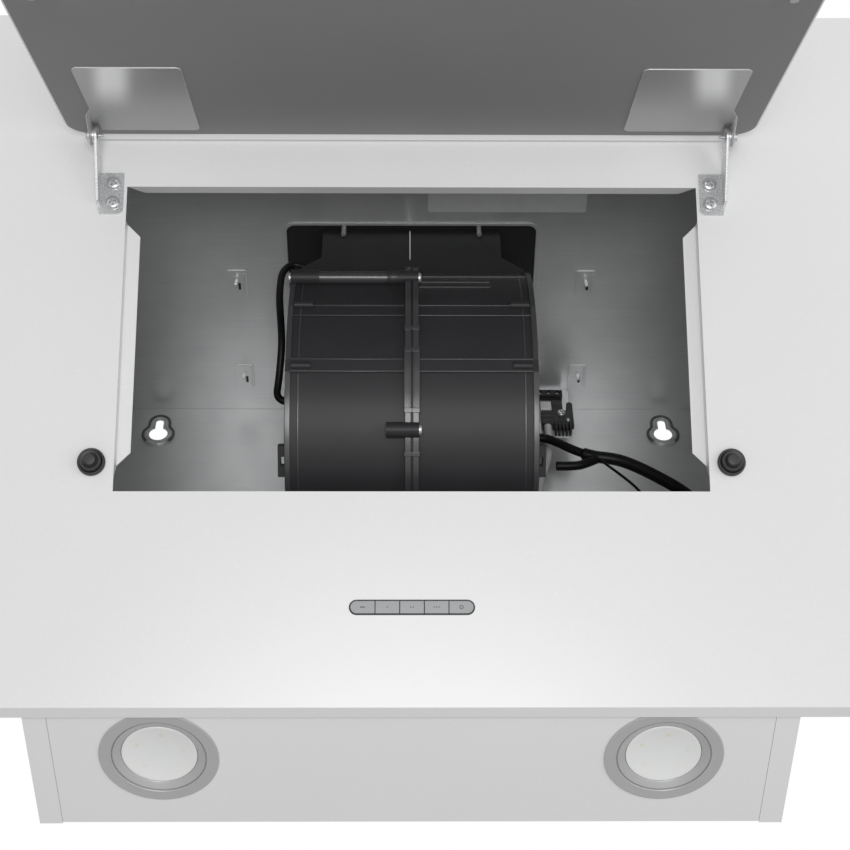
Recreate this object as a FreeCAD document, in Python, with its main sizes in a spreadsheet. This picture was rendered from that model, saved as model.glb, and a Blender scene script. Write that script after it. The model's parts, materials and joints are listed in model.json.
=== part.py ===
import FreeCAD, Part
import math
import os
import re
import Sketcher

# Slanted wall hood with a swing-up front flap, opened as for taking its filter out.
# Millimetres and degrees. The origin lies on the wall, midway between the two keyholes:
# +X to the viewer's right, +Y into the wall, +Z up.

doc = FreeCAD.newDocument("rangeHood")
sheet = doc.addObject("Spreadsheet::Sheet", "dims")

sizes = {
    # Housing, measured from the lower rear edge
    "bodyInset": 64,
    "bodyHeight": 396,
    "bodySheet": 1,
    "flangeWidth": 14.4,
    "lampSlope": 7.4,
    "lampDepth": 100.7,
    "lampSetback": 1.2,
    "seam": 0.15,
    "overrun": 5,
    # Slanted front panel
    "panelWidth": 598,
    "panelSlope": 57.4,
    "panelFootDepth": 103.7,
    "panelFootHeight": 9.75,
    "panelSheet": 1,
    "panelLip": 9.3,
    "panelTopLip": 12,
    "panelRim": 12,
    # Filter opening in the front panel, measured up the slope
    "openingInset": 38.55,
    "openingHeight": 202.8,
    "openingFoot": 132.5,
    "returnDepth": 10,
    "ledgeWidth": 8.4,
    "returnFootGap": 8.5,
    "returnTopGap": 23,
    "ledgeFootGap": 18.5,
    # Keyholes in the back panel
    "keyholeInset": 34.8,
    "keyholeDrop": 32,
    "keyholeRadius": 7.25,
    "keyholeSlotWidth": 6.1,
    "keyholeRise": 13.35,
    "embossMargin": 5.5,
    "embossDepth": 1.2,
    # Hooks and rating plate on the ceiling
    "hookSpacing": 263,
    "hookRearDepth": 36.2,
    "hookFrontDepth": 128.5,
    "hookPlateWidth": 14.7,
    "hookPlateLength": 24,
    "hookSheet": 0.8,
    "hookWidth": 3.2,
    "hookDrop": 9,
    "hookReach": 5,
    "ratingLeft": 12,
    "ratingWidth": 115.7,
    "ratingLength": 40,
    "ratingDepth": 193.5,
    "ratingSheet": 0.4,
    # Hinge of the flap, in the slope's own directions
    "hingeRise": 362.4,
    "hingeStandoff": 18.75,
    "flapAngle": 86.5,
    "pinRadius": 2,
    "pinClearance": 0.05,
    "pinReach": 5.8,
    "pinPointLength": 4,
    "pinPointRadius": 0.5,
    "pinHeadRadius": 3.2,
    "pinHeadHeight": 2,
    "washerRadius": 5,
    "washerSheet": 1.2,
    # Fixed hinge bracket
    "bracketSheet": 1.5,
    "bracketInset": 20,
    "bracketWidth": 16.6,
    "bracketFoot": 315.8,
    "bracketLength": 28.4,
    "bracketHeel": 7,
    "armEndRadius": 6,
    "bracketCorner": 4,
    "screwInset": 10.55,
    "screwLow": 323.3,
    "screwPitch": 13.7,
    "screwHeadRadius": 4.5,
    "screwHeadHeight": 2.2,
    "screwHeadRound": 1.3,
    "screwShankRadius": 1.8,
    "screwLength": 8,
    "screwClearance": 0.1,
    # Rubber catches
    "catchInset": 24.8,
    "catchRise": 150.7,
    "catchRadius": 8.65,
    "catchBase": 4,
    "catchStepRadius": 6.7,
    "catchStep": 3,
    "catchNoseRadius": 4.2,
    "catchNose": 3,
    "catchStemRadius": 3,
    "catchStem": 4,
    # Flap, from its hinge axis
    "flapInset": 11.7,
    "flapTail": 15.9,
    "flapLength": 266,
    "flapOffset": 7,
    "flapSheet": 1.2,
    "flapCorner": 18,
    "flapLip": 3.4,
    "liningSheet": 0.8,
    "liningMargin": 1.5,
    # Stainless hinge plates on the flap
    "plateInset": 86.3,
    "plateSheet": 1,
    "plateTail": 5.6,
    "plateReach": 91.7,
    "plateCorner": 4,
    "earGap": 1.9,
    "earSheet": 1.2,
    "earEndRadius": 6.2,
    "earSlope": 60,
    "earHeelSlope": 45,
    "earRoot": 8,
    "earReach": 20,
    "plateNotch": 5,
    "studRadius": 2.5,
    "studBaseRadius": 6,
    "studBase": 1.2,
    "studGap": 0.3,
    # Push buttons
    "switchRise": 60.3,
    "switchLength": 74.9,
    "switchWidth": 7.7,
    "switchPitch": 14.95,
    "buttonProud": 1.2,
    "buttonDepth": 8,
    "buttonGap": 0.35,
    "bezelGap": 0.25,
    "bezelWall": 0.55,
    "bezelProud": 0.3,
    "bezelDepth": 6,
    "bezelFit": 0.1,
    "switchBoxMargin": 4.5,
    "switchBoxWall": 1.5,
    "switchBoxDepth": 19,
    "boardDepth": 10.4,
    "boardSheet": 1.6,
    "boardFit": 0.2,
    # Lamps in the lower plate
    "lampInset": 80,
    "lampRear": 59.4,
    "lampRingRadius": 36.9,
    "lampRingSheet": 0.8,
    "lampStepRadius": 29.7,
    "lampLensRadius": 23.4,
    "lampLensRise": 2,
    "lampLensSheet": 1.5,
    "lampTubeRadius": 31.5,
    "lampTubeHeight": 12,
    "lampTubeWall": 1.8,
    "lampFit": 0.2,
    "lampHousingWall": 1.6,
    "lampHousingHeight": 15,
    "ledBoardRise": 9,
    "ledBoardSheet": 1.4,
    "ledSize": 3,
    "ledHeight": 0.8,
    "ledCircle": 15,
    "ledCount": 8,
    # Blower, from its own axis
    "fanDepth": 117,
    "fanDrop": 154,
    "scrollRadius": 108,
    "scrollHalfWidth": 80.5,
    "scrollWall": 2.5,
    "throatFront": 178,
    "throatRear": 20,
    "throatHalfWidth": 65,
    "shoulderDrop": 51,
    "neckDrop": 36,
    "inletRadius": 62,
    "seamRibHeight": 4,
    "seamRibHalfWidth": 4.3,
    "bossAngle": 17.5,
    "bossRadius": 5,
    "bossLift": 3.6,
    "bossTubeRadius": 4.1,
    "bossEndLength": 19,
    "bossHubLength": 12,
    "lowBossAngle": -47.8,
    "lowBossLength": 12,
    "pegAngle": 0.6,
    "bandAngle": -25.8,
    "bandWidth": 8.4,
    "bandHeight": 1.4,
    "pegRadius": 2.6,
    "pegLength": 12,
    "pegInset": 4,
    "lineAngle": -4.7,
    "lineWidth": 1.6,
    "lineHeight": 0.6,
    "lugAngle": -58.5,
    "lugReach": 4.2,
    "lugLength": 20,
    "lugDepth": 8,
    "lugWall": 1.8,
    "lugWindow": 6,
    "scrollScrewRadius": 1.5,
    "scrollScrewHead": 3.4,
    "scrollScrewHeadHeight": 2.2,
    "scrollScrewLength": 10,
    # Motor and impeller
    "shaftRadius": 4,
    "shaftRunning": 0.05,
    "shaftTail": 84,
    "shaftNose": 18,
    "motorRadius": 42,
    "motorEnd": 78,
    "motorFace": 10,
    "motorNeckRadius": 12,
    "motorNeck": 3,
    "wheelRadius": 88,
    "wheelInner": 75,
    "wheelHalfWidth": 70,
    "wheelDisc": 3,
    "wheelHubRadius": 12,
    "wheelHubLength": 16,
    "wheelGap": 2,
    "bladeSheet": 1.4,
    "bladeInset": 1,
    "bladeCount": 32,
    "wheelRing": 2.4,
    "spiderRadius": 70,
    "spiderRing": 6,
    "spiderSheet": 3,
    "spiderArm": 8,
    "spiderHub": 26,
    "grilleSheet": 2.5,
    "grilleRing": 6,
    "grilleHub": 14,
    "grilleSpoke": 3,
    "grilleSpokes": 12,
    # Outlet in the top plate
    "outletHoleWidth": 184,
    "outletHoleFront": 181.8,
    "outletHoleRear": 16,
    "outletHoleCorner": 6,
    "collarWidth": 204,
    "collarMargin": 8,
    "collarSheet": 2.5,
    "ductDepth": 99,
    "ductRadius": 60,
    "ductWall": 2,
    "ductHeight": 45,
    "damperRise": 9.5,
    "damperSheet": 1.2,
    "damperFit": 1.5,
    "damperRoot": 3.4,
    "damperKnuckle": 3,
    "damperPinRadius": 1.5,
    "damperPinClearance": 0.05,
    "damperSeat": 4,
    "damperSeatHeight": 2,
    "damperSeatGap": 0.3,
    "knuckleNear": 20,
    "knuckleFar": 48,
    "knuckleGap": 1,
    "outletScrewAcross": 49.6,
    "outletScrewRadius": 1.8,
    "outletScrewHead": 4,
    "outletScrewHeadHeight": 2.4,
    "outletScrewLength": 14,
    "outletScrewGap": 2.2,
    "clipWidth": 7,
    "clipDrop": 5,
    # Terminal bracket, box, clamp and connector, right of the blower
    "strapLeft": 97,
    "strapWidth": 28.3,
    "strapDrop": 57.3,
    "strapDepth": 23,
    "strapSheet": 1.2,
    "strapFoot": 14,
    "terminalWidth": 21.7,
    "terminalInset": 1,
    "terminalDrop": 6.8,
    "terminalHeight": 8.2,
    "terminalDepth": 6,
    "connectorWidth": 8.5,
    "connectorHeight": 12.4,
    "connectorDepth": 6,
    "connectorDrop": 21.9,
    "connectorInset": 4.5,
    "clampWidth": 23.4,
    "clampHeight": 15,
    "clampDepth": 8,
    "clampDrop": 35,
    "clampInset": 4.6,
    "guideWidth": 8.2,
    "guideHeight": 13,
    "guideInset": 13.3,
    "guideDepth": 7,
    "clampHookWidth": 4.7,
    "clampHookHeight": 27,
    "clampHookInset": 25,
    "clampHookDepth": 5,
    "clampHookLow": 49,
    "cableInset": 4.5,
    "clampScrewAcross": 116.9,
    "clampScrewDrop": 39,
    "clampScrewHead": 3.4,
    "clampScrewLength": 7.5,
    "rivetAcross": 121.7,
    "rivetDrop": 47,
    "rivetRadius": 1.8,
    # Grommet of the mains lead, in the outlet collar's flange
    "grommetAcross": 79,
    "grommetDepth": 40,
    "grommetBore": 4,
    "grommetRadius": 7.5,
    "grommetFlange": 10,
    "grommetLip": 1.5,
    # Leads held inside the housing
    "controlCableRadius": 4.5,
    "controlBranchRadius": 3.3,
    "lampWireRadius": 1,
    "supplyCableRadius": 3,
    "motorLeadRadius": 2.6,
    "sleeveRadius": 3.4,
}

# Places that follow from the sizes
derived = {
    "bodyWidth": "panelWidth - 2 * bodyInset",
    "flapHalfWidth": "bodyWidth / 2 - flapInset",
    "openingWidth": "2 * (flapHalfWidth - openingInset)",
    "keyholeSpacing": "bodyWidth - 2 * keyholeInset",
    "lampAcross": "bodyWidth / 2 - lampInset",
    "hangHeight": "bodyHeight - keyholeDrop",
    "bracketOuter": "flapHalfWidth - bracketInset",
    "bracketInner": "flapHalfWidth - bracketInset - bracketWidth",
    "pinTip": "flapHalfWidth - bracketInset - pinReach",
    "plateInner": "flapHalfWidth - plateInset",
    "catchAcross": "flapHalfWidth - catchInset",
    "fanHeight": "bodyHeight - fanDrop",
    "throatShoulder": "bodyHeight - shoulderDrop",
    "throatNeck": "bodyHeight - neckDrop",
}

for row, (alias, number) in enumerate(sizes.items(), 1):
    sheet.set("A%d" % row, alias)
    sheet.set("B%d" % row, str(number))
    sheet.setAlias("B%d" % row, alias)
doc.recompute()

# Any turn about X: its angle is then bound to the sheet
aboutX = FreeCAD.Placement(FreeCAD.Vector(), FreeCAD.Rotation(FreeCAD.Vector(1, 0, 0), 45))

nodes = []


# Every word of an expression that names a size is looked up in the sheet.
def qualified(text):
    def looked(match):
        word = match.group()
        if word in derived:
            return "(" + qualified(derived[word]) + ")"
        return "dims." + word if word in sizes else word
    return re.sub(r"[A-Za-z]\w*", looked, text)


def bind(piece, prop, text):
    piece.setExpression(prop, qualified(text))


def value(text):
    return float(sheet.evalExpression(qualified(text)))


def move(piece, corner):
    for axis, text in zip("xyz", corner):
        if text != "0":
            bind(piece, "Placement.Base." + axis, text)


def box(name, corner, span):
    piece = doc.addObject("Part::Box", name)
    for prop, text in zip(("Length", "Width", "Height"), span):
        bind(piece, prop, text)
    move(piece, corner)
    return piece


turnTo = {
    "x": FreeCAD.Rotation(FreeCAD.Vector(0, 1, 0), 90),
    "y": FreeCAD.Rotation(FreeCAD.Vector(1, 0, 0), -90),
    "z": FreeCAD.Rotation(),
}


def cylinder(name, radius, length, base, along="z"):
    piece = doc.addObject("Part::Cylinder", name)
    bind(piece, "Radius", radius)
    bind(piece, "Height", length)
    piece.Placement.Rotation = turnTo[along]
    move(piece, base)
    return piece


def cone(name, radiusLow, radiusHigh, length, base, along="z"):
    piece = doc.addObject("Part::Cone", name)
    bind(piece, "Radius1", radiusLow)
    bind(piece, "Radius2", radiusHigh)
    bind(piece, "Height", length)
    piece.Placement.Rotation = turnTo[along]
    move(piece, base)
    return piece


def fuse(name, pieces):
    whole = doc.addObject("Part::MultiFuse", name)
    whole.Shapes = pieces
    return whole


def cut(name, base, tools):
    left = doc.addObject("Part::Cut", name)
    left.Base = base
    left.Tool = tools[0] if len(tools) == 1 else fuse(name + "Tools", tools)
    return left


def common(name, one, other):
    shared = doc.addObject("Part::Common", name)
    shared.Base = one
    shared.Tool = other
    return shared


def mirrored(name, piece):
    twin = doc.addObject("Part::Mirroring", name)
    twin.Source = piece
    twin.Normal = FreeCAD.Vector(1, 0, 0)
    return twin


def rounded(name, piece, edges, radius):
    soft = doc.addObject("Part::Fillet", name)
    soft.Base = piece
    soft.Edges = [(edge, value(radius), value(radius)) for edge in edges]
    return soft


# A flat plate with straight sides: a sketch whose corners are bound to the sheet, padded.
def plate(name, plane, corners, thickness, start="0", symmetric=False):
    body = doc.addObject("PartDesign::Body", name)
    sketch = body.newObject("Sketcher::SketchObject", name + "Outline")
    sketch.AttachmentSupport = [(f, "") for f in body.Origin.OriginFeatures if f.Role == plane + "_Plane"]
    sketch.MapMode = "FlatFace"
    points = [FreeCAD.Vector(value(a), value(b), 0) for a, b in corners]
    count = len(points)
    for i in range(count):
        sketch.addGeometry(Part.LineSegment(points[i], points[(i + 1) % count]), False)
    for i in range(count):
        sketch.addConstraint(Sketcher.Constraint("Coincident", i, 2, (i + 1) % count, 1))
    for i in range(count):
        for kind, text, number in zip(("DistanceX", "DistanceY"), corners[i], points[i]):
            index = sketch.addConstraint(Sketcher.Constraint(kind, -1, 1, i, 1, number))
            if text != "0":
                sketch.setExpression("Constraints[%d]" % index, qualified(text))
    pad = body.newObject("PartDesign::Pad", name + "Pad")
    pad.Profile = sketch
    if symmetric:
        pad.SideType = "Symmetric"
    bind(pad, "Length", thickness)
    if start != "0":
        axis = {"XY": "z", "YZ": "x", "XZ": "y"}[plane]
        bind(body, "Placement.Base." + axis, start)
    return body


# The directions that the pieces are laid out in: base depth, base height and turn about X.
hingeAcrossDepth = "-panelFootDepth - hingeRise * cos(panelSlope) - hingeStandoff * sin(panelSlope)"
hingeAcrossHeight = "panelFootHeight + hingeRise * sin(panelSlope) - hingeStandoff * cos(panelSlope)"
frames = {
    "body": ("0", "-hangHeight", None),
    "panel": ("-panelFootDepth", "panelFootHeight - hangHeight", "180 - panelSlope"),
    "panelLocal": ("-panelFootDepth", "panelFootHeight", "180 - panelSlope"),
    "lamp": ("0", "-hangHeight", "-lampSlope"),
    "lampLocal": ("0", "0", "-lampSlope"),
    "flap": (hingeAcrossDepth, hingeAcrossHeight + " - hangHeight", "360 - panelSlope - flapAngle"),
    "fan": ("-fanDepth", "fanHeight - hangHeight", None),
    "duct": ("-ductDepth", "bodyHeight - hangHeight", None),
}


def seat(piece, frame):
    depth, height, turn = frames[frame]
    if turn:
        piece.Placement = aboutX
        bind(piece, "Placement.Rotation.Angle", turn)
    move(piece, ("0", depth, height))
    return piece


# A finished sub-part: one solid, or a group of like solids, seated in its frame.
def node(label, frame, *pieces):
    whole = doc.addObject("Part::Compound", label)
    whole.Links = list(pieces)
    whole.Label = label
    seat(whole, frame)
    nodes.append(whole)
    return whole


def stadium(name, length, width, low, height, rise):
    middle = box(name + "Bar", ("-(%s - %s) / 2" % (length, width), "%s - (%s) / 2" % (rise, width), low),
                 ("(%s) - (%s)" % (length, width), width, height))
    ends = [
        cylinder(name + word, "(%s) / 2" % width, height,
                 ("%s(%s - %s) / 2" % (sign, length, width), rise, low))
        for word, sign in (("Left", "-"), ("Right", ""))
    ]
    return fuse(name, [middle] + ends)


# Side outline of the housing, in depth and height from the lower rear edge
panelLength = "((bodyHeight - panelFootHeight) / sin(panelSlope))"
panelTopDepth = "(panelFootDepth + (bodyHeight - panelFootHeight) / tan(panelSlope))"
lampFrontHeight = "(lampDepth * tan(lampSlope))"
halfBody = "(bodyWidth / 2)"
ceiling = "(bodyHeight - bodySheet)"
openingTop = "(openingFoot + openingHeight)"


# Depth of the panel's rear face at a given height
def panelBack(height):
    return "(-panelFootDepth - (%s - panelFootHeight) / tan(panelSlope) + panelSheet / sin(panelSlope))" % height


def makeFrontPanel():
    skin = plate("panelSkin", "YZ", [
        ("panelLip - panelFootDepth", "panelFootHeight"),
        ("-panelFootDepth", "panelFootHeight"),
        ("-" + panelTopDepth, "bodyHeight"),
        ("panelTopLip - " + panelTopDepth, "bodyHeight"),
        ("panelTopLip - " + panelTopDepth, "bodyHeight - panelSheet"),
        (panelBack("bodyHeight - panelSheet"), "bodyHeight - panelSheet"),
        (panelBack("(panelFootHeight + panelSheet)"), "panelFootHeight + panelSheet"),
        ("panelLip - panelFootDepth", "panelFootHeight + panelSheet"),
    ], "panelWidth", symmetric=True)
    rim = plate("panelRimRight", "YZ", [
        ("-panelFootDepth", "panelFootHeight"),
        ("-" + panelTopDepth, "bodyHeight"),
        ("panelTopLip - " + panelTopDepth, "bodyHeight"),
        ("panelRim / sin(panelSlope) - panelFootDepth", "panelFootHeight"),
    ], "panelSheet", start="panelWidth / 2 - panelSheet")

    # Returns round the opening, in the slope's own directions
    topReturn = plate("openingTopReturn", "XZ", [
        ("-openingWidth / 2", "0"),
        ("openingWidth / 2", "0"),
        ("openingWidth / 2 - returnDepth", "-returnDepth"),
        ("returnDepth - openingWidth / 2", "-returnDepth"),
    ], "panelSheet", start=openingTop + " + panelSheet")
    wall = plate("openingSideReturn", "YZ", [
        ("openingFoot + returnFootGap", "0"),
        (openingTop + " - returnTopGap", "0"),
        (openingTop + " - returnTopGap", "-returnDepth"),
        ("openingFoot + ledgeFootGap", "-returnDepth"),
    ], "panelSheet", start="openingWidth / 2")
    ledge = plate("openingLedge", "XY", [
        ("openingWidth / 2 + panelSheet", "openingFoot + ledgeFootGap"),
        ("openingWidth / 2 + panelSheet", openingTop + " - returnTopGap"),
        ("openingWidth / 2", openingTop + " - returnTopGap"),
        ("openingWidth / 2 - ledgeWidth", openingTop + " - returnTopGap - ledgeWidth"),
        ("openingWidth / 2 - ledgeWidth", "openingFoot + ledgeFootGap + ledgeWidth"),
        ("openingWidth / 2", "openingFoot + ledgeFootGap"),
    ], "panelSheet", start="-returnDepth")
    side = fuse("openingSide", [wall, ledge])
    returns = seat(fuse("openingReturns", [topReturn, side, mirrored("openingSideLeft", side)]), "panelLocal")

    through = "panelSheet + 2 * overrun"
    below = "-panelSheet - overrun"
    opening = box("openingCut", ("-openingWidth / 2", "openingFoot", below),
                  ("openingWidth", "openingHeight", through))
    switchHole = stadium("switchHole", "(switchLength + 2 * bezelGap + 2 * bezelWall + 2 * bezelFit)",
                         "(switchWidth + 2 * bezelGap + 2 * bezelWall + 2 * bezelFit)",
                         below, through, "switchRise")
    holes = [
        cylinder("panelScrewHole" + word, "screwShankRadius + screwClearance", through,
                 (across, rise, below))
        for word, across, rise in screwPlaces("")
    ]
    holes += [
        cylinder("catchHole" + word, "catchStemRadius", through, (across, "catchRise", below))
        for word, across in (("Left", "-catchAcross"), ("Right", "catchAcross"))
    ]
    cuts = seat(fuse("panelCuts", [opening, switchHole] + holes), "panelLocal")
    whole = fuse("panelWhole", [skin, rim, mirrored("panelRimLeft", rim), returns])
    node("front_panel", "body", cut("panelCutOut", whole, [cuts]))


# The four screws of the hinge brackets: a word, the place across and the place up the slope
def screwPlaces(prefix):
    return [
        (prefix + side + level, sign + "(bracketInner + screwInset - bracketCorner)", rise)
        for side, sign in (("Left", "-"), ("Right", ""))
        for level, rise in (("Low", "screwLow"), ("High", "screwLow + screwPitch"))
    ]


def makeBody():
    panel = plate("sidePlate", "YZ", [
        ("0", "0"),
        ("0", "bodyHeight"),
        ("panelTopLip - " + panelTopDepth, "bodyHeight"),
        ("panelTopLip - " + panelTopDepth, "bodyHeight - panelSheet"),
        (panelBack("bodyHeight - panelSheet"), "bodyHeight - panelSheet"),
        (panelBack(lampFrontHeight), lampFrontHeight),
        ("-lampDepth", lampFrontHeight),
    ], "bodySheet", start=halfBody + " - bodySheet")
    flange = box("sideFlange", (halfBody + " - flangeWidth", "-lampDepth / cos(lampSlope)", "0"),
                 ("flangeWidth", flangeLength, "bodySheet"))
    side = fuse("sideWhole", [panel, seat(fuse("sideFlangeSeat", [flange, flangeStub()]), "lampLocal")])
    node("side_panel_right", "body", side)
    node("side_panel_left", "body", mirrored("sideWholeLeft", side))

    backFoot = "(bodySheet / cos(lampSlope) + bodySheet * tan(lampSlope) + seam)"
    back = box("backSheet", ("bodySheet - " + halfBody, "-bodySheet", backFoot),
               ("bodyWidth - 2 * bodySheet", "bodySheet", "bodyHeight - " + backFoot))
    raised = keyholeShape("keyholeRaised", "embossMargin", "-bodySheet - embossDepth", "embossDepth")
    hollow = keyholeShape("keyholeHollow", "(embossMargin - bodySheet)", "-embossDepth", "embossDepth + overrun")
    hole = keyholeShape("keyhole", "0", "-bodySheet - embossDepth - overrun", "embossDepth + 2 * overrun")
    embossed = fuse("backEmbossed", [back, raised, mirrored("keyholeRaisedLeft", raised)])
    node("back_panel", "body", cut("backCut", embossed, [
        hollow, mirrored("keyholeHollowLeft", hollow), hole, mirrored("keyholeLeft", hole)]))

    topFront = "(panelTopLip - " + panelTopDepth + ")"
    top = box("topSheet", ("bodySheet - " + halfBody, topFront, ceiling),
              ("bodyWidth - 2 * bodySheet", "-bodySheet - " + topFront, "bodySheet"))
    outlet = rounded("outletHole", box("outletHoleBox", ("-outletHoleWidth / 2", "-outletHoleFront", ceiling + " - overrun"),
                                       ("outletHoleWidth", "outletHoleFront - outletHoleRear", "bodySheet + 2 * overrun")),
                     (1, 3, 5, 7), "outletHoleCorner")
    screwHoles = [
        cylinder("outletScrewHole" + word, "outletScrewRadius", "bodySheet + 2 * overrun",
                 (across, outletScrewDepth, ceiling + " - overrun"))
        for word, across in (("Left", "-outletScrewAcross"), ("Right", "outletScrewAcross"))
    ]
    node("top_plate", "body", cut("topCut", top, [outlet] + screwHoles))

    lampPlate = box("lampSheet", ("flangeWidth + seam - " + halfBody, "-lampDepth / cos(lampSlope)", "0"),
                    ("bodyWidth - 2 * (flangeWidth + seam)", "lampDepth / cos(lampSlope) - lampSetback", "bodySheet"))
    lampHoles = [
        cylinder("lampHole" + word, "lampTubeRadius + lampFit", "bodySheet + 2 * overrun",
                 (across, "-lampRear", "-overrun"))
        for word, across in (("Left", "-lampAcross"), ("Right", "lampAcross"))
    ]
    node("lamp_plate", "lamp", cut("lampSheetCut", lampPlate, lampHoles))


# The corner where a side panel turns into its lower flange
def flangeStub():
    return box("sideFlangeCorner", (halfBody + " - bodySheet", "-lampDepth / cos(lampSlope)", "0"),
               ("bodySheet", flangeLength, "bodySheet"))


# The lower flange ends where its upper face meets the wall plane
flangeLength = "(lampDepth / cos(lampSlope) - bodySheet * tan(lampSlope))"
outletScrewDepth = "-throatFront - outletScrewGap"


# A keyhole: a round hole with a narrow slot above it
def keyholeShape(name, margin, start, depth):
    across = "keyholeSpacing / 2"
    low = cylinder(name + "Low", "keyholeRadius + " + margin, depth, (across, start, "hangHeight"), "y")
    high = cylinder(name + "High", "keyholeSlotWidth / 2 + " + margin, depth,
                    (across, start, "hangHeight + keyholeRise"), "y")
    slot = box(name + "Slot", (across + " - keyholeSlotWidth / 2 - " + margin, start, "hangHeight"),
               ("keyholeSlotWidth + 2 * " + margin, depth, "keyholeRise"))
    return fuse(name, [low, high, slot])


def makeCeilingTrim():
    hooks = []
    for word, depth in (("Rear", "-hookRearDepth"), ("Front", "-hookFrontDepth")):
        low = ceiling + " - hookSheet"
        foot = box("hookPlate" + word, ("(hookSpacing - hookPlateWidth) / 2", depth + " - hookPlateLength / 2", low),
                   ("hookPlateWidth", "hookPlateLength", "hookSheet"))
        stem = box("hookStem" + word, ("(hookSpacing - hookWidth) / 2", depth, ceiling + " - hookDrop"),
                   ("hookWidth", "hookSheet", "hookDrop - hookSheet"))
        toe = box("hookToe" + word, ("(hookSpacing - hookWidth) / 2", depth + " - hookReach", ceiling + " - hookDrop"),
                  ("hookWidth", "hookReach", "hookSheet"))
        hook = fuse("hook" + word, [foot, stem, toe])
        hooks += [hook, mirrored("hookLeft" + word, hook)]
    node("ceiling_hooks", "body", *hooks)
    node("rating_plate", "body", box(
        "ratingSheetBox", ("ratingLeft", "-ratingDepth - ratingLength", ceiling + " - ratingSheet"),
        ("ratingWidth", "ratingLength", "ratingSheet")))


def makeHinges():
    foot = plate("bracketFootPlate", "XY", [
        ("bracketInner + bracketCorner", "bracketFoot"),
        ("bracketOuter - bracketSheet", "bracketFoot"),
        ("bracketOuter", "bracketFoot + bracketHeel"),
        ("bracketOuter", "bracketFoot + bracketLength"),
        ("bracketInner", "bracketFoot + bracketLength"),
        ("bracketInner", "bracketFoot + bracketCorner"),
    ], "bracketSheet")
    corner = cylinder("bracketFootCorner", "bracketCorner", "bracketSheet",
                      ("bracketInner + bracketCorner", "bracketFoot + bracketCorner", "0"))
    arm = plate("bracketArm", "YZ", [
        ("bracketFoot + bracketHeel", "0"),
        ("bracketFoot + bracketLength", "0"),
        ("hingeRise + armEndRadius * cos(panelSlope)", "hingeStandoff - armEndRadius * sin(panelSlope)"),
        ("hingeRise - armEndRadius * cos(panelSlope)", "hingeStandoff + armEndRadius * sin(panelSlope)"),
        ("bracketFoot + bracketHeel", "bracketHeel"),
    ], "bracketSheet", start="bracketOuter - bracketSheet")
    tip = cylinder("bracketArmEnd", "armEndRadius", "bracketSheet",
                   ("bracketOuter - bracketSheet", "hingeRise", "hingeStandoff"), "x")
    bore = cylinder("bracketBore", "pinRadius", "bracketSheet + 2 * overrun",
                    ("bracketOuter - bracketSheet - overrun", "hingeRise", "hingeStandoff"), "x")
    holes = [
        cylinder("bracketHole" + word, "screwShankRadius + screwClearance", "bracketSheet + 2 * overrun",
                 (across, rise, "-overrun"))
        for word, across, rise in screwPlaces("") if word.startswith("Right")
    ]
    bracket = cut("bracket", fuse("bracketWhole", [foot, corner, arm, tip]), [bore] + holes)
    node("hinge_bracket_right", "panel", bracket)
    node("hinge_bracket_left", "panel", mirrored("bracketLeft", bracket))

    screws = []
    for word, across, rise in screwPlaces("bracketScrew"):
        head = rounded(word + "Head", cylinder(word + "HeadBlank", "screwHeadRadius", "screwHeadHeight",
                                               (across, rise, "bracketSheet")), (3,), "screwHeadRound")
        shank = cylinder(word + "Shank", "screwShankRadius", "screwLength",
                         (across, rise, "bracketSheet - screwLength"))
        screws.append(fuse(word, [head, shank]))
    node("bracket_screws", "panel", *screws)

    # The hinge screw goes in from outside, through the ear, and its point shows inside the bracket
    earInner = "(bracketOuter + earGap)"
    headStart = "(" + earInner + " + earSheet + washerSheet + 2 * pinClearance)"
    shank = cylinder("hingePinShank", "pinRadius", headStart + " - pinTip - pinPointLength",
                     ("pinTip + pinPointLength", "hingeRise", "hingeStandoff"), "x")
    point = cone("hingePinPoint", "pinPointRadius", "pinRadius", "pinPointLength",
                 ("pinTip", "hingeRise", "hingeStandoff"), "x")
    head = cylinder("hingePinHead", "pinHeadRadius", "pinHeadHeight", (headStart, "hingeRise", "hingeStandoff"), "x")
    pin = fuse("hingePin", [shank, point, head])
    node("hinge_pins", "panel", pin, mirrored("hingePinLeft", pin))

    washers = []
    for word, start, thickness in (
            ("Inner", "bracketOuter", "earGap - pinClearance"),
            ("Outer", earInner + " + earSheet + pinClearance", "washerSheet")):
        disc = cylinder("washer" + word + "Disc", "washerRadius", thickness, (start, "hingeRise", "hingeStandoff"), "x")
        eye = cylinder("washer" + word + "Eye", "pinRadius + pinClearance", "washerSheet + 2 * overrun",
                       (start + " - overrun", "hingeRise", "hingeStandoff"), "x")
        washer = cut("washer" + word, disc, [eye])
        washers += [washer, mirrored("washer" + word + "Left", washer)]
    node("hinge_washers", "panel", *washers)

    catchTop = "(catchBase + catchStep + catchNose)"
    base = cylinder("catchBaseDisc", "catchRadius", "catchBase", ("catchAcross", "catchRise", "0"))
    step = cylinder("catchStepDisc", "catchStepRadius", "catchBase + catchStep", ("catchAcross", "catchRise", "0"))
    nose = cylinder("catchNoseDisc", "catchNoseRadius", catchTop, ("catchAcross", "catchRise", "0"))
    stem = cylinder("catchStemRod", "catchStemRadius", "catchStem", ("catchAcross", "catchRise", "-catchStem"))
    catch = fuse("catch", [base, step, nose, stem])
    node("catch_right", "panel", catch)
    node("catch_left", "panel", mirrored("catchLeft", catch))

    makeFlap(earInner, catchTop)


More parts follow.
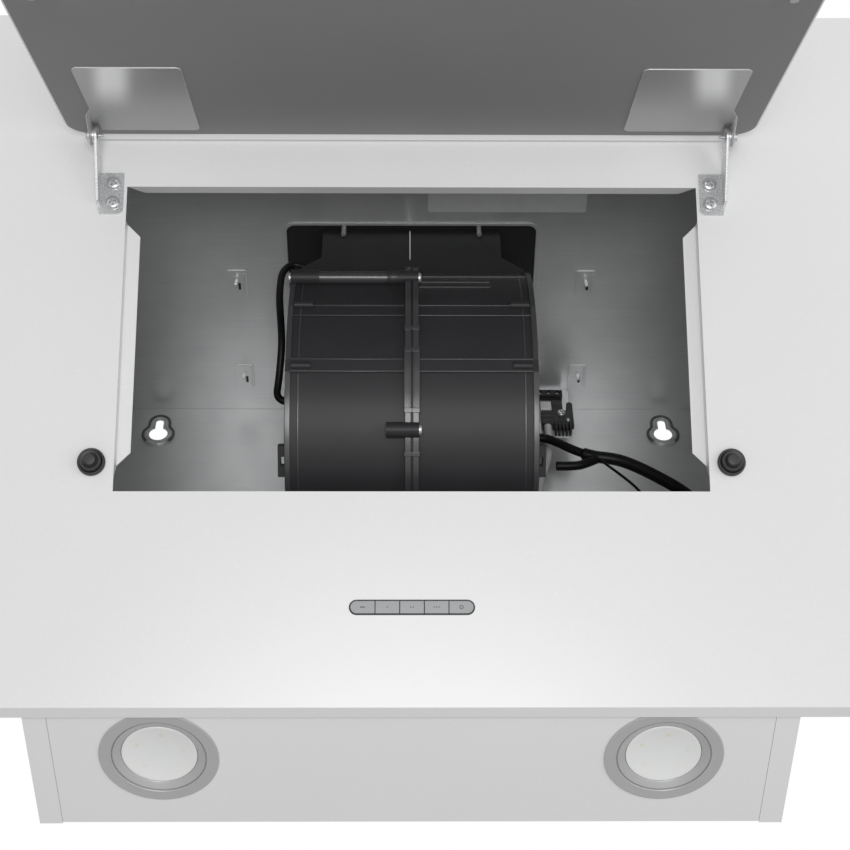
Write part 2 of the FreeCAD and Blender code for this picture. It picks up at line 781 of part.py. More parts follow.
# The flap lies in the flap frame: across, away from the hinge, and towards its inner side
def makeFlap(earInner, catchTop):
    inner = "(-flapOffset)"
    skinLow = "(-flapOffset - liningSheet - flapSheet)"
    skin = rounded("flapSkin", box("flapSkinBox", ("-flapHalfWidth", "-flapTail", skinLow),
                                   ("2 * flapHalfWidth", "flapLength", "flapSheet")), (1, 3, 5, 7), "flapCorner")
    lip = box("flapLipStrip", ("flapCorner - flapHalfWidth", "-flapTail", skinLow),
              ("2 * (flapHalfWidth - flapCorner)", "flapSheet", "flapSheet + liningSheet + flapLip"))
    node("flap_panel", "flap", fuse("flapWhole", [skin, lip]))
    node("flap_lining", "flap", rounded("liningSheetPlate", box(
        "liningBox", ("liningMargin - flapHalfWidth", "liningMargin - flapTail", inner + " - liningSheet"),
        ("2 * (flapHalfWidth - liningMargin)", "flapLength - 2 * liningMargin", "liningSheet")),
        (1, 3, 5, 7), "flapCorner - liningMargin"))

    sheetPlate = rounded("hingePlateSheet", box(
        "hingePlateBox", ("plateInner", "-plateTail", inner),
        (earInner + " + earSheet - plateInner", "plateTail + plateReach", "plateSheet")), (1, 3, 7), "plateCorner")
    notch = box("hingePlateNotch", (earInner + " - plateNotch", "-plateTail - overrun", inner + " - overrun"),
                ("plateNotch + earSheet + overrun", "plateTail + earRoot + overrun", "2 * overrun + plateSheet"))
    ear = plate("hingeEar", "YZ", [
        ("earRoot", inner),
        ("plateReach", inner),
        ("plateReach", inner + " + plateSheet"),
        ("earReach", inner + " + plateSheet"),
        ("earEndRadius * cos(earSlope)", "earEndRadius * sin(earSlope)"),
        ("-earEndRadius * cos(earHeelSlope)", "-earEndRadius * sin(earHeelSlope)"),
        ("0", inner),
    ], "earSheet", start=earInner)
    eye = common("hingeEarEye", cylinder("hingeEarDisc", "earEndRadius", "earSheet", (earInner, "0", "0"), "x"),
                 box("hingeEarRoom", (earInner, "-2 * earEndRadius", inner),
                     ("earSheet", "4 * earEndRadius", "4 * earEndRadius")))
    bore = cylinder("hingeEarBore", "pinRadius + pinClearance", "earSheet + 2 * overrun",
                    (earInner + " - overrun", "0", "0"), "x")
    plateWhole = cut("hingePlate", fuse("hingePlateWhole", [
        cut("hingePlateNotched", sheetPlate, [notch]), ear, eye]), [bore])
    node("hinge_plate_right", "flap", plateWhole)
    node("hinge_plate_left", "flap", mirrored("hingePlateLeft", plateWhole))

    away = "hingeRise - catchRise"
    reach = "(flapOffset + hingeStandoff - " + catchTop + " - studGap)"
    foot = cylinder("studFoot", "studBaseRadius", "studBase", ("catchAcross", away, inner))
    rod = cylinder("studRod", "studRadius", reach, ("catchAcross", away, inner))
    stud = fuse("stud", [foot, rod])
    node("catch_studs", "flap", stud, mirrored("studLeft", stud))


def makeSwitch():
    holeLength = "(switchLength + 2 * bezelGap)"
    holeWidth = "(switchWidth + 2 * bezelGap)"
    outer = stadium("bezelOuter", "(switchLength + 2 * bezelGap + 2 * bezelWall)",
                    "(switchWidth + 2 * bezelGap + 2 * bezelWall)", "-bezelDepth", "bezelDepth + bezelProud", "switchRise")
    inner = stadium("bezelInner", holeLength, holeWidth, "-bezelDepth - overrun", "bezelDepth + 2 * overrun", "switchRise")
    node("switch_bezel", "panel", cut("bezel", outer, [inner]))

    bar = stadium("buttonBar", "switchLength", "switchWidth", "-buttonDepth", "buttonDepth + buttonProud", "switchRise")
    names = ("button_off", "button_low", "button_medium", "button_high", "button_lamp")
    outerWidth = "((switchLength - 3 * switchPitch) / 2)"
    for place, name in enumerate(names):
        left = "-switchLength / 2" if place == 0 else "(%d - 2.5) * switchPitch + buttonGap / 2" % place
        right = "switchLength / 2" if place == 4 else "(%d - 1.5) * switchPitch - buttonGap / 2" % place
        slot = box(name + "Slot", (left, "switchRise - switchWidth", "-buttonDepth"),
                   ("(" + right + ") - (" + left + ")", "2 * switchWidth", "buttonDepth + buttonProud"))
        node(name, "panel", common(name + "Cap", bar, slot))

    length = "(" + holeLength + " + 2 * switchBoxMargin)"
    width = "(" + holeWidth + " + 2 * switchBoxMargin)"
    case = box("switchCase", ("-" + length + " / 2", "switchRise - " + width + " / 2", "-panelSheet - switchBoxDepth"),
               (length, width, "switchBoxDepth"))
    room = box("switchRoom", ("switchBoxWall - " + length + " / 2", "switchRise + switchBoxWall - " + width + " / 2",
                              "switchBoxWall - panelSheet - switchBoxDepth"),
               (length + " - 2 * switchBoxWall", width + " - 2 * switchBoxWall", "switchBoxDepth"))
    node("switch_box", "panel", cut("switchShell", case, [room]))
    node("switch_board", "panel", box(
        "switchBoardBox",
        ("switchBoxWall + boardFit - " + length + " / 2", "switchRise + switchBoxWall + boardFit - " + width + " / 2",
         "-boardDepth - boardSheet"),
        (length + " - 2 * (switchBoxWall + boardFit)", width + " - 2 * (switchBoxWall + boardFit)", "boardSheet")))


def makeLamps():
    at = ("lampAcross", "-lampRear")
    flange = cylinder("lampFlange", "lampRingRadius", "lampRingSheet", at + ("-lampRingSheet",))
    tube = cylinder("lampTube", "lampTubeRadius", "lampTubeHeight", at + ("0",))
    funnel = cone("lampFunnel", "lampStepRadius", "lampLensRadius + lampFit", "lampRingSheet + lampLensRise",
                  at + ("-lampRingSheet",))
    seatBore = cylinder("lampLensBore", "lampLensRadius + lampFit", "lampLensSheet + overrun", at + ("lampLensRise",))
    room = cylinder("lampRoom", "lampTubeRadius - lampTubeWall", "lampTubeHeight",
                    at + ("lampLensRise + lampLensSheet + lampTubeWall",))
    ring = cut("lampRing", fuse("lampRingWhole", [flange, tube]), [funnel, seatBore, room])
    node("lamp_ring_right", "lamp", ring)
    node("lamp_ring_left", "lamp", mirrored("lampRingLeft", ring))

    lens = cylinder("lampLens", "lampLensRadius", "lampLensSheet", at + ("lampLensRise",))
    node("lamp_lens_right", "lamp", lens)
    node("lamp_lens_left", "lamp", mirrored("lampLensLeft", lens))

    cup = cylinder("lampCup", "lampTubeRadius + lampFit + lampHousingWall", "lampHousingHeight", at + ("bodySheet",))
    cupRoom = cylinder("lampCupRoom", "lampTubeRadius + lampFit", "lampHousingHeight - lampHousingWall", at + ("bodySheet",))
    housing = cut("lampHousing", cup, [cupRoom])
    node("lamp_housing_right", "lamp", housing)
    node("lamp_housing_left", "lamp", mirrored("lampHousingLeft", housing))

    board = cylinder("ledBoard", "lampTubeRadius - lampTubeWall - lampFit", "ledBoardSheet", at + ("ledBoardRise",))
    chips = [
        box("led%d" % i,
            ("lampAcross + ledCircle * cos(%d * 360 / ledCount) - ledSize / 2" % i,
             "-lampRear + ledCircle * sin(%d * 360 / ledCount) - ledSize / 2" % i, "ledBoardRise - ledHeight"),
            ("ledSize", "ledSize", "ledHeight"))
        for i in range(int(value("ledCount")))
    ]
    lit = fuse("ledBoardWhole", [board] + chips)
    node("lamp_board_right", "lamp", lit)
    node("lamp_board_left", "lamp", mirrored("ledBoardLeft", lit))


# A bar along X on the scroll's drum, at an angle up from straight forward
def rib(name, angle, radius, width, height, start, length):
    piece = doc.addObject("Part::Box", name)
    bind(piece, "Length", length)
    bind(piece, "Width", width)
    bind(piece, "Height", height)
    piece.Placement = aboutX
    bind(piece, "Placement.Rotation.Angle", "90 - (%s)" % angle)
    move(piece, (start,
                 "-(%s) * cos(%s) - (%s) / 2 * sin(%s)" % (radius, angle, width, angle),
                 "(%s) * sin(%s) - (%s) / 2 * cos(%s)" % (radius, angle, width, angle)))
    return piece


def onDrum(angle, radius):
    return "-(%s) * cos(%s)" % (radius, angle), "(%s) * sin(%s)" % (radius, angle)


def rod(name, angle, lift, radius, start, length):
    depth, height = onDrum(angle, "scrollRadius + " + lift)
    return cylinder(name, radius, length, (start, depth, height), "x")


def makeScroll():
    top = "(bodyHeight - fanHeight)"
    shoulder = "(throatShoulder - fanHeight)"
    neck = "(throatNeck - fanHeight)"
    front = "(throatFront - fanDepth)"
    rear = "(fanDepth - throatRear)"
    drum = cylinder("scrollDrum", "scrollRadius", "scrollHalfWidth", ("0", "0", "0"), "x")
    throat = plate("scrollThroat", "XZ", [
        ("0", "0"),
        ("scrollHalfWidth", "0"),
        ("scrollHalfWidth", shoulder),
        ("throatHalfWidth", neck),
        ("throatHalfWidth", top),
        ("0", top),
    ], front + " + " + rear, start=rear)
    seamRib = cylinder("scrollSeamRib", "scrollRadius + seamRibHeight", "seamRibHalfWidth", ("0", "0", "0"), "x")
    ribLength = "scrollHalfWidth - seamRibHalfWidth"
    pegStart = "scrollHalfWidth - pegInset - pegLength"
    shared = [drum, throat, seamRib]
    shared.append(rib("scrollBand", "bandAngle", "scrollRadius - scrollWall / 2", "bandWidth",
                      "scrollWall / 2 + bandHeight", "seamRibHalfWidth", ribLength))
    shared.append(rib("scrollLine", "lineAngle", "scrollRadius - scrollWall / 2", "lineWidth",
                      "scrollWall / 2 + lineHeight", "seamRibHalfWidth", ribLength))
    for word, angle in (("High", "pegAngle"), ("Low", "bandAngle")):
        shared.append(rod("scrollPeg" + word, angle, "bandHeight / 2", "pegRadius", pegStart, "pegLength"))
    lugOuter = rib("scrollLugBlock", "lugAngle", "scrollRadius - lugDepth", "lugLength", "lugDepth",
                   "scrollHalfWidth - scrollWall", "lugReach + scrollWall")
    shared.append(lugOuter)
    outside = fuse("scrollOutside", shared)

    drumRoom = cylinder("scrollDrumRoom", "scrollRadius - scrollWall", "scrollHalfWidth - scrollWall + overrun",
                        ("-overrun", "0", "0"), "x")
    throatRoom = plate("scrollThroatRoom", "XZ", [
        ("-overrun", "0"),
        ("scrollHalfWidth - scrollWall", "0"),
        ("scrollHalfWidth - scrollWall", shoulder + " - scrollWall / 2"),
        ("throatHalfWidth - scrollWall", neck + " - scrollWall / 2"),
        ("throatHalfWidth - scrollWall", top + " + overrun"),
        ("-overrun", top + " + overrun"),
    ], front + " + " + rear + " - 2 * scrollWall", start=rear + " - scrollWall")
    inlet = cylinder("scrollInlet", "inletRadius", "scrollWall + 2 * overrun",
                     ("scrollHalfWidth - scrollWall - overrun", "0", "0"), "x")
    lugWindow = rib("scrollLugWindow", "lugAngle", "scrollRadius - lugDepth - overrun", "lugWindow",
                    "lugDepth + 2 * overrun", "scrollHalfWidth", "lugReach - lugWall")
    half = cut("scrollHalf", outside, [drumRoom, throatRoom, inlet, lugWindow])

    # Bosses of the three joining screws: two on the left half, one seat each on the right
    screwHole = [
        rod("scrollScrewHoleHigh", "bossAngle", "bossLift", "scrollScrewRadius + screwClearance",
            "-bossHubLength - seamRibHalfWidth - overrun", "bossHubLength + 2 * seamRibHalfWidth + 2 * overrun"),
        rod("scrollScrewHoleLow", "lowBossAngle", "bossLift", "scrollScrewRadius + screwClearance",
            "-lowBossLength - seamRibHalfWidth - overrun", "lowBossLength + 2 * seamRibHalfWidth + 2 * overrun"),
        rod("scrollScrewHoleEnd", "bossAngle", "bossLift", "scrollScrewRadius + screwClearance",
            "-scrollHalfWidth - 2 * overrun", "scrollScrewLength + 2 * overrun"),
    ]
    leftBosses = [
        rod("bossEnd", "bossAngle", "bossLift", "bossRadius", "-scrollHalfWidth", "bossEndLength"),
        rod("bossTube", "bossAngle", "bossLift", "bossTubeRadius", "-scrollHalfWidth + bossEndLength",
            "scrollHalfWidth - bossEndLength"),
        rod("bossHub", "bossAngle", "bossLift", "bossRadius", "-seamRibHalfWidth - bossHubLength",
            "bossHubLength + seamRibHalfWidth"),
        rod("lowBoss", "lowBossAngle", "bossLift", "bossRadius", "-seamRibHalfWidth - lowBossLength",
            "lowBossLength + seamRibHalfWidth"),
    ]
    rightBosses = [
        rod("bossSeat", "bossAngle", "bossLift", "bossRadius", "0", "seamRibHalfWidth"),
        rod("lowBossSeat", "lowBossAngle", "bossLift", "bossRadius", "0", "seamRibHalfWidth"),
    ]
    keepOut = cylinder("scrollKeepOut", "scrollRadius - scrollWall", "2 * scrollHalfWidth - 2 * scrollWall",
                       ("scrollWall - scrollHalfWidth", "0", "0"), "x")
    left = cut("scrollLeftCut", fuse("scrollLeftWhole", [mirrored("scrollHalfLeft", half)] + leftBosses),
               screwHole + [keepOut])
    right = cut("scrollRightCut", fuse("scrollRightWhole", [half] + rightBosses), screwHole + [keepOut])
    node("scroll_left", "fan", left)
    node("scroll_right", "fan", right)

    screws = []
    for word, angle, faceAt, sign in (("High", "bossAngle", "seamRibHalfWidth", "-"),
                                      ("Low", "lowBossAngle", "seamRibHalfWidth", "-"),
                                      ("End", "bossAngle", "-scrollHalfWidth", "")):
        start = faceAt if sign == "-" else faceAt + " - scrollScrewHeadHeight"
        shankStart = faceAt + " - scrollScrewLength" if sign == "-" else faceAt
        head = rod("scrollScrewHead" + word, angle, "bossLift", "scrollScrewHead", start, "scrollScrewHeadHeight")
        shank = rod("scrollScrewShank" + word, angle, "bossLift", "scrollScrewRadius", shankStart, "scrollScrewLength")
        screws.append(fuse("scrollScrew" + word, [head, shank]))
    node("scroll_screws", "fan", *screws)


def makeFan():
    shaft = cylinder("shaftRod", "shaftRadius", "shaftTail + shaftNose", ("-shaftTail", "0", "0"), "x")
    node("motor_shaft", "fan", shaft)

    can = cylinder("motorCan", "motorRadius", "motorEnd - motorFace", ("-motorEnd", "0", "0"), "x")
    neck = cylinder("motorNeckRing", "motorNeckRadius", "motorNeck", ("-motorFace", "0", "0"), "x")
    bore = cylinder("motorBore", "shaftRadius + shaftRunning", "motorEnd + 2 * overrun",
                    ("-motorEnd - overrun", "0", "0"), "x")
    node("motor", "fan", cut("motorWhole", fuse("motorBody", [can, neck]), [bore]))

    # The spider carries the motor's end in the left inlet
    ring = cylinder("spiderRim", "spiderRadius", "spiderSheet", ("-scrollHalfWidth - spiderSheet", "0", "0"), "x")
    window = cylinder("spiderWindow", "spiderRadius - spiderRing", "spiderSheet + 2 * overrun",
                      ("-scrollHalfWidth - spiderSheet - overrun", "0", "0"), "x")
    hub = cylinder("spiderHubDisc", "spiderHub", "scrollHalfWidth + spiderSheet - motorEnd",
                   ("-scrollHalfWidth - spiderSheet", "0", "0"), "x")
    arms = [turnedBar("spiderArm%d" % i, "%d * 120 + 90" % i, "spiderArm", "spiderSheet", "spiderRadius - spiderRing / 2",
                      "-scrollHalfWidth - spiderSheet") for i in range(3)]
    hole = cylinder("spiderBore", "shaftRadius + shaftRunning", "scrollHalfWidth + overrun",
                    ("-scrollHalfWidth - spiderSheet - overrun", "0", "0"), "x")
    node("motor_bracket", "fan", cut("spider", fuse("spiderWhole", [
        cut("spiderRing1", ring, [window]), hub] + arms), [hole]))

    # Grille over the right inlet
    rim = cylinder("grilleRim", "spiderRadius", "grilleSheet", ("scrollHalfWidth", "0", "0"), "x")
    open1 = cylinder("grilleOpen", "spiderRadius - grilleRing", "grilleSheet + 2 * overrun",
                     ("scrollHalfWidth - overrun", "0", "0"), "x")
    boss = cylinder("grilleBoss", "grilleHub", "grilleSheet", ("scrollHalfWidth", "0", "0"), "x")
    middle = cylinder("grilleMiddle", "(spiderRadius + grilleHub) / 2", "grilleSheet", ("scrollHalfWidth", "0", "0"), "x")
    middleOpen = cylinder("grilleMiddleOpen", "(spiderRadius + grilleHub) / 2 - grilleSpoke", "grilleSheet + 2 * overrun",
                          ("scrollHalfWidth - overrun", "0", "0"), "x")
    spokes = [turnedBar("grilleSpoke%d" % i, "%d * 360 / grilleSpokes" % i, "grilleSpoke", "grilleSheet",
                        "spiderRadius - grilleRing / 2", "scrollHalfWidth") for i in range(int(value("grilleSpokes")))]
    node("inlet_grille", "fan", fuse("grille", [
        cut("grilleRing1", rim, [open1]), boss, cut("grilleRing2", middle, [middleOpen])] + spokes))

    # Double-inlet wheel: a disc, its hub, the blades and a ring at each end
    wheel = doc.addObject("PartDesign::Body", "wheelBody")
    yz = [(f, "") for f in wheel.Origin.OriginFeatures if f.Role == "YZ_Plane"]
    disc = wheel.newObject("Sketcher::SketchObject", "wheelDiscOutline")
    disc.AttachmentSupport = yz
    disc.MapMode = "FlatFace"
    disc.addGeometry(Part.Circle(FreeCAD.Vector(), FreeCAD.Vector(0, 0, 1), value("wheelRadius")), False)
    disc.addConstraint(Sketcher.Constraint("Coincident", 0, 3, -1, 1))
    radius = disc.addConstraint(Sketcher.Constraint("Radius", 0, value("wheelRadius")))
    disc.setExpression("Constraints[%d]" % radius, qualified("wheelRadius"))
    discPad = wheel.newObject("PartDesign::Pad", "wheelDiscPad")
    discPad.Profile = disc
    discPad.SideType = "Symmetric"
    bind(discPad, "Length", "wheelDisc")
    blade = wheel.newObject("Sketcher::SketchObject", "wheelBladeOutline")
    blade.AttachmentSupport = yz
    blade.MapMode = "FlatFace"
    corners = [("wheelInner + bladeInset", "-bladeSheet / 2"), ("wheelRadius - bladeInset", "-bladeSheet / 2"),
               ("wheelRadius - bladeInset", "bladeSheet / 2"), ("wheelInner + bladeInset", "bladeSheet / 2")]
    points = [FreeCAD.Vector(value(a), value(b), 0) for a, b in corners]
    for i in range(4):
        blade.addGeometry(Part.LineSegment(points[i], points[(i + 1) % 4]), False)
    for i in range(4):
        blade.addConstraint(Sketcher.Constraint("Coincident", i, 2, (i + 1) % 4, 1))
    for i in range(4):
        for kind, text, number in zip(("DistanceX", "DistanceY"), corners[i], points[i]):
            index = blade.addConstraint(Sketcher.Constraint(kind, -1, 1, i, 1, number))
            blade.setExpression("Constraints[%d]" % index, qualified(text))
    bladePad = wheel.newObject("PartDesign::Pad", "wheelBladePad")
    bladePad.Profile = blade
    bladePad.SideType = "Symmetric"
    bind(bladePad, "Length", "2 * wheelHalfWidth")
    doc.recompute()
    turns = wheel.newObject("PartDesign::PolarPattern", "wheelBlades")
    turns.Originals = [bladePad]
    turns.Axis = (disc, ["N_Axis"])
    turns.Angle = 360
    bind(turns, "Occurrences", "bladeCount")
    wheel.Tip = turns
    hubDisc = cylinder("wheelHub", "wheelHubRadius", "wheelHubLength", ("-wheelDisc / 2", "0", "0"), "x")
    rings = []
    for word, start in (("Left", "-wheelHalfWidth"), ("Right", "wheelHalfWidth - wheelRing")):
        outer = cylinder("wheelRing" + word + "Disc", "wheelRadius", "wheelRing", (start, "0", "0"), "x")
        eye = cylinder("wheelRing" + word + "Eye", "wheelInner", "wheelRing + 2 * overrun",
                       (start + " - overrun", "0", "0"), "x")
        rings.append(cut("wheelRing" + word, outer, [eye]))
    hole = cylinder("wheelBore", "shaftRadius", "wheelHubLength + 2 * overrun", ("-wheelDisc - overrun", "0", "0"), "x")
    node("impeller", "fan", cut("wheelWhole", fuse("wheelSolid", [wheel, hubDisc] + rings), [hole]))


# A flat radial bar from the fan's axis outwards, turned about X
def turnedBar(name, angle, width, thickness, length, start):
    piece = doc.addObject("Part::Box", name)
    bind(piece, "Length", thickness)
    bind(piece, "Width", width)
    bind(piece, "Height", length)
    piece.Placement = aboutX
    bind(piece, "Placement.Rotation.Angle", angle)
    move(piece, (start, "-(%s) / 2 * cos(%s)" % (width, angle), "-(%s) / 2 * sin(%s)" % (width, angle)))
    return piece


def makeOutlet():
    front = "(ductDepth - outletHoleFront - collarMargin)"
    rear = "(ductDepth - outletHoleRear + collarMargin)"
    sheetPlate = rounded("collarFlange", box("collarFlangeBox", ("-collarWidth / 2", front, "0"),
                                             ("collarWidth", rear + " - " + front, "collarSheet")),
                         (1, 3, 5, 7), "collarMargin")
    pipe = cylinder("ductPipe", "ductRadius", "collarSheet + ductHeight", ("0", "0", "0"))
    pipeBore = cylinder("ductBore", "ductRadius - ductWall", "collarSheet + ductHeight + 2 * overrun", ("0", "0", "-overrun"))
    seatTop = "(collarSheet + damperRise - damperSheet / 2 - damperSeatGap)"
    seatRing = cut("damperSeatRing", cylinder("damperSeatDisc", "ductRadius - ductWall / 2", "damperSeatHeight",
                                              ("0", "0", seatTop + " - damperSeatHeight")),
                   [cylinder("damperSeatEye", "ductRadius - ductWall - damperSeat", "damperSeatHeight + 2 * overrun",
                             ("0", "0", seatTop + " - damperSeatHeight - overrun"))])
    pinHole = cylinder("damperPinHole", "damperPinRadius", "2 * ductRadius + 2 * overrun",
                       ("-ductRadius - overrun", "0", "collarSheet + damperRise"), "x")
    screwHoles = [
        cylinder("collarScrewHole" + word, "outletScrewRadius", "collarSheet + 2 * overrun",
                 (across, "ductDepth " + outletScrewDepth, "-overrun"))
        for word, across in (("Left", "-outletScrewAcross"), ("Right", "outletScrewAcross"))
    ]
    screwHoles.append(cylinder("grommetHole", "grommetRadius", "collarSheet + 2 * overrun",
                               ("grommetAcross", "ductDepth - grommetDepth", "-overrun")))
    shell = cut("collarShell", fuse("collarBody", [sheetPlate, pipe]), [pipeBore])
    node("outlet_collar", "duct", cut("collar", fuse("collarWhole", [shell, seatRing]), [pinHole] + screwHoles))

    # Two half discs that lift about one pin across the spigot
    rise = "(collarSheet + damperRise)"
    node("damper_pin", "duct", cylinder("damperPinRod", "damperPinRadius", "2 * ductRadius",
                                        ("-ductRadius", "0", rise), "x"))
    low = rise + " - damperSheet / 2"
    round1 = cylinder("damperRound", "ductRadius - ductWall - damperFit", "damperSheet", ("0", "0", low))
    for name, sign, spans in (
            ("damper_front", "-", (("A", "-knuckleFar", "knuckleFar - knuckleNear"),
                                   ("B", "knuckleNear", "knuckleFar - knuckleNear"))),
            ("damper_rear", "", (("A", "knuckleGap - knuckleNear", "2 * (knuckleNear - knuckleGap)"),))):
        startDepth = "-ductRadius" if sign == "-" else "damperRoot"
        half = common(name + "Half", round1, box(name + "Room", ("-ductRadius", startDepth, low),
                                                 ("2 * ductRadius", "ductRadius - damperRoot", "damperSheet")))
        pieces = [half]
        for word, start, length in spans:
            pieces.append(cylinder(name + "Knuckle" + word, "damperKnuckle", length, (start, "0", rise), "x"))
            webDepth = "-damperRoot - damperKnuckle" if sign == "-" else "0"
            pieces.append(box(name + "Web" + word, (start, webDepth, low),
                              (length, "damperRoot + damperKnuckle", "damperSheet")))
        bore = cylinder(name + "Bore", "damperPinRadius + damperPinClearance", "2 * ductRadius",
                        ("-ductRadius", "0", rise), "x")
        node(name, "duct", cut(name + "Cut", fuse(name + "Whole", pieces), [bore]))

    screws = []
    for word, across in (("Left", "-outletScrewAcross"), ("Right", "outletScrewAcross")):
        depth = "ductDepth " + outletScrewDepth
        head = cylinder("outletScrewHead" + word, "outletScrewHead", "outletScrewHeadHeight", (across, depth, "collarSheet"))
        shank = cylinder("outletScrewShank" + word, "outletScrewRadius", "outletScrewLength",
                         (across, depth, "collarSheet - outletScrewLength"))
        clip = box("outletClip" + word, (across + " - clipWidth / 2", depth + " - outletScrewGap", "-bodySheet - clipDrop"),
                   ("clipWidth", "2 * outletScrewGap", "clipDrop"))
        screws.append(fuse("outletScrew" + word, [head, shank, clip]))
    node("outlet_screws", "duct", *screws)


def makeTerminals():
    strapFace = "-strapDepth"
    strap = box("strapPlate", ("strapLeft", strapFace, ceiling + " - strapDrop"),
                ("strapWidth", "strapSheet", "strapDrop"))
    foot = box("strapFootPlate", ("strapLeft", strapFace, ceiling + " - strapSheet"),
               ("strapWidth", "strapFoot", "strapSheet"))
    node("terminal_bracket", "body", fuse("strap", [strap, foot]))
    node("terminal_box", "body", rounded("terminalBlock", box(
        "terminalBlockBox", ("strapLeft + terminalInset", strapFace + " - terminalDepth", ceiling + " - terminalDrop - terminalHeight"),
        ("terminalWidth", "terminalDepth", "terminalHeight")), (4, 8), "terminalInset"))
    node("cable_connector", "body", box(
        "connectorBox", ("strapLeft + connectorInset", strapFace + " - connectorDepth", connectorLow),
        ("connectorWidth", "connectorDepth", "connectorHeight")))
    clampLow = ceiling + " - clampDrop - clampHeight"
    block = box("clampBlock", ("strapLeft + clampInset", strapFace + " - clampDepth", clampLow),
                ("clampWidth", "clampDepth", "clampHeight"))
    guide = box("clampGuide", ("strapLeft + guideInset", strapFace + " - guideDepth", ceiling + " - clampDrop"),
                ("guideWidth", "guideDepth", "guideHeight"))
    hook = box("clampHook", ("strapLeft + clampHookInset", strapFace + " - clampHookDepth", ceiling + " - clampHookLow"),
               ("clampHookWidth", "clampHookDepth", "clampHookHeight"))
    channel = cylinder("clampChannel", "supplyCableRadius + seam", "clampHeight + 2 * overrun",
                       (supplyAcross, supplyDepth, clampLow + " - overrun"))
    screwBore = cylinder("clampScrewBore", "scrollScrewRadius + screwClearance", "clampDepth + overrun",
                         ("clampScrewAcross", strapFace + " - clampDepth - overrun", ceiling + " - clampScrewDrop"), "y")
    node("cable_clamp", "body", cut("clamp", fuse("clampWhole", [block, guide, hook]), [channel, screwBore]))
    head = cylinder("clampScrewHeadDisc", "clampScrewHead", "scrollScrewHeadHeight",
                    ("clampScrewAcross", strapFace + " - clampDepth - scrollScrewHeadHeight", ceiling + " - clampScrewDrop"), "y")
    shank = cylinder("clampScrewShank", "scrollScrewRadius", "clampScrewLength",
                     ("clampScrewAcross", strapFace + " - clampDepth", ceiling + " - clampScrewDrop"), "y")
    rivet = cylinder("clampRivet", "rivetRadius", "rivetRadius",
                     ("rivetAcross", strapFace + " - clampDepth - rivetRadius", ceiling + " - rivetDrop"), "y")
    node("clamp_screws", "body", fuse("clampScrew", [head, shank]), rivet)

    # Rubber grommet for the mains lead
    at = ("grommetAcross", "ductDepth - grommetDepth")
    barrel = cylinder("grommetBarrel", "grommetRadius", "collarSheet + 2 * grommetLip", at + ("-grommetLip",))
    lipLow = cylinder("grommetLipLow", "grommetFlange", "grommetLip", at + ("-grommetLip",))
    lipHigh = cylinder("grommetLipHigh", "grommetFlange", "grommetLip", at + ("collarSheet",))
    bore = cylinder("grommetBoreRod", "grommetBore", "collarSheet + 2 * grommetLip + 2 * overrun",
                    at + ("-grommetLip - overrun",))
    node("cable_grommet", "duct", cut("grommet", fuse("grommetWhole", [barrel, lipLow, lipHigh]), [bore]))


connectorLow = ceiling + " - connectorDrop - connectorHeight"
supplyAcross = "strapLeft + clampInset + cableInset"
supplyDepth = "-strapDepth - clampDepth / 2"


# Share of each straight run that the arc at its end takes up
bendShare = 0.45


# The solid of one lead, along straight runs joined by arcs as large as the runs allow
def tube(label, points, radius):
    corners = [FreeCAD.Vector(*p) for p in points]
    edges = []
    last = corners[0]
    tightest = None
    for before, at, after in zip(corners, corners[1:], corners[2:]):
        towards = before - at
        runIn = towards.Length
        towards = towards / runIn
        away = after - at
        runOut = away.Length
        away = away / runOut
        turn = math.pi - towards.getAngle(away)
        trim = bendShare * min(runIn, runOut)
        arcRadius = trim / math.tan(turn / 2)
        tightest = arcRadius if tightest is None else min(tightest, arcRadius)
        start = at + towards * trim
        end = at + away * trim
        bisector = (towards + away).normalize()
        middle = at + bisector * (arcRadius / math.cos(turn / 2) - arcRadius)
        edges.append(Part.LineSegment(last, start).toShape())
        edges.append(Part.Arc(start, middle, end).toShape())
        last = end
    edges.append(Part.LineSegment(last, corners[-1]).toShape())
    path = Part.Wire(edges)
    ring = Part.Wire([Part.Circle(corners[0], corners[1] - corners[0], radius).toShape()])
    shell = path.makePipeShell([ring], True, False)
    solid = shell if shell.ShapeType == "Solid" else Part.makeSolid(shell)
    print(label, "length", round(path.Length, 1), "least radius", round(tightest, 1),
          "volume share", round(solid.Volume / (math.pi * radius ** 2 * path.Length), 4))
    return solid


# A lead, with the branches that are moulded into it
def lead(label, run, *branches):
    solid = run
    if branches:
        solid = run.fuse(list(branches)).removeSplitter().Solids[0]
    piece = doc.addObject("Part::Feature", label)
    piece.Label = label
    piece.Shape = solid
    nodes.append(piece)
    seat(piece, "body")
    return piece


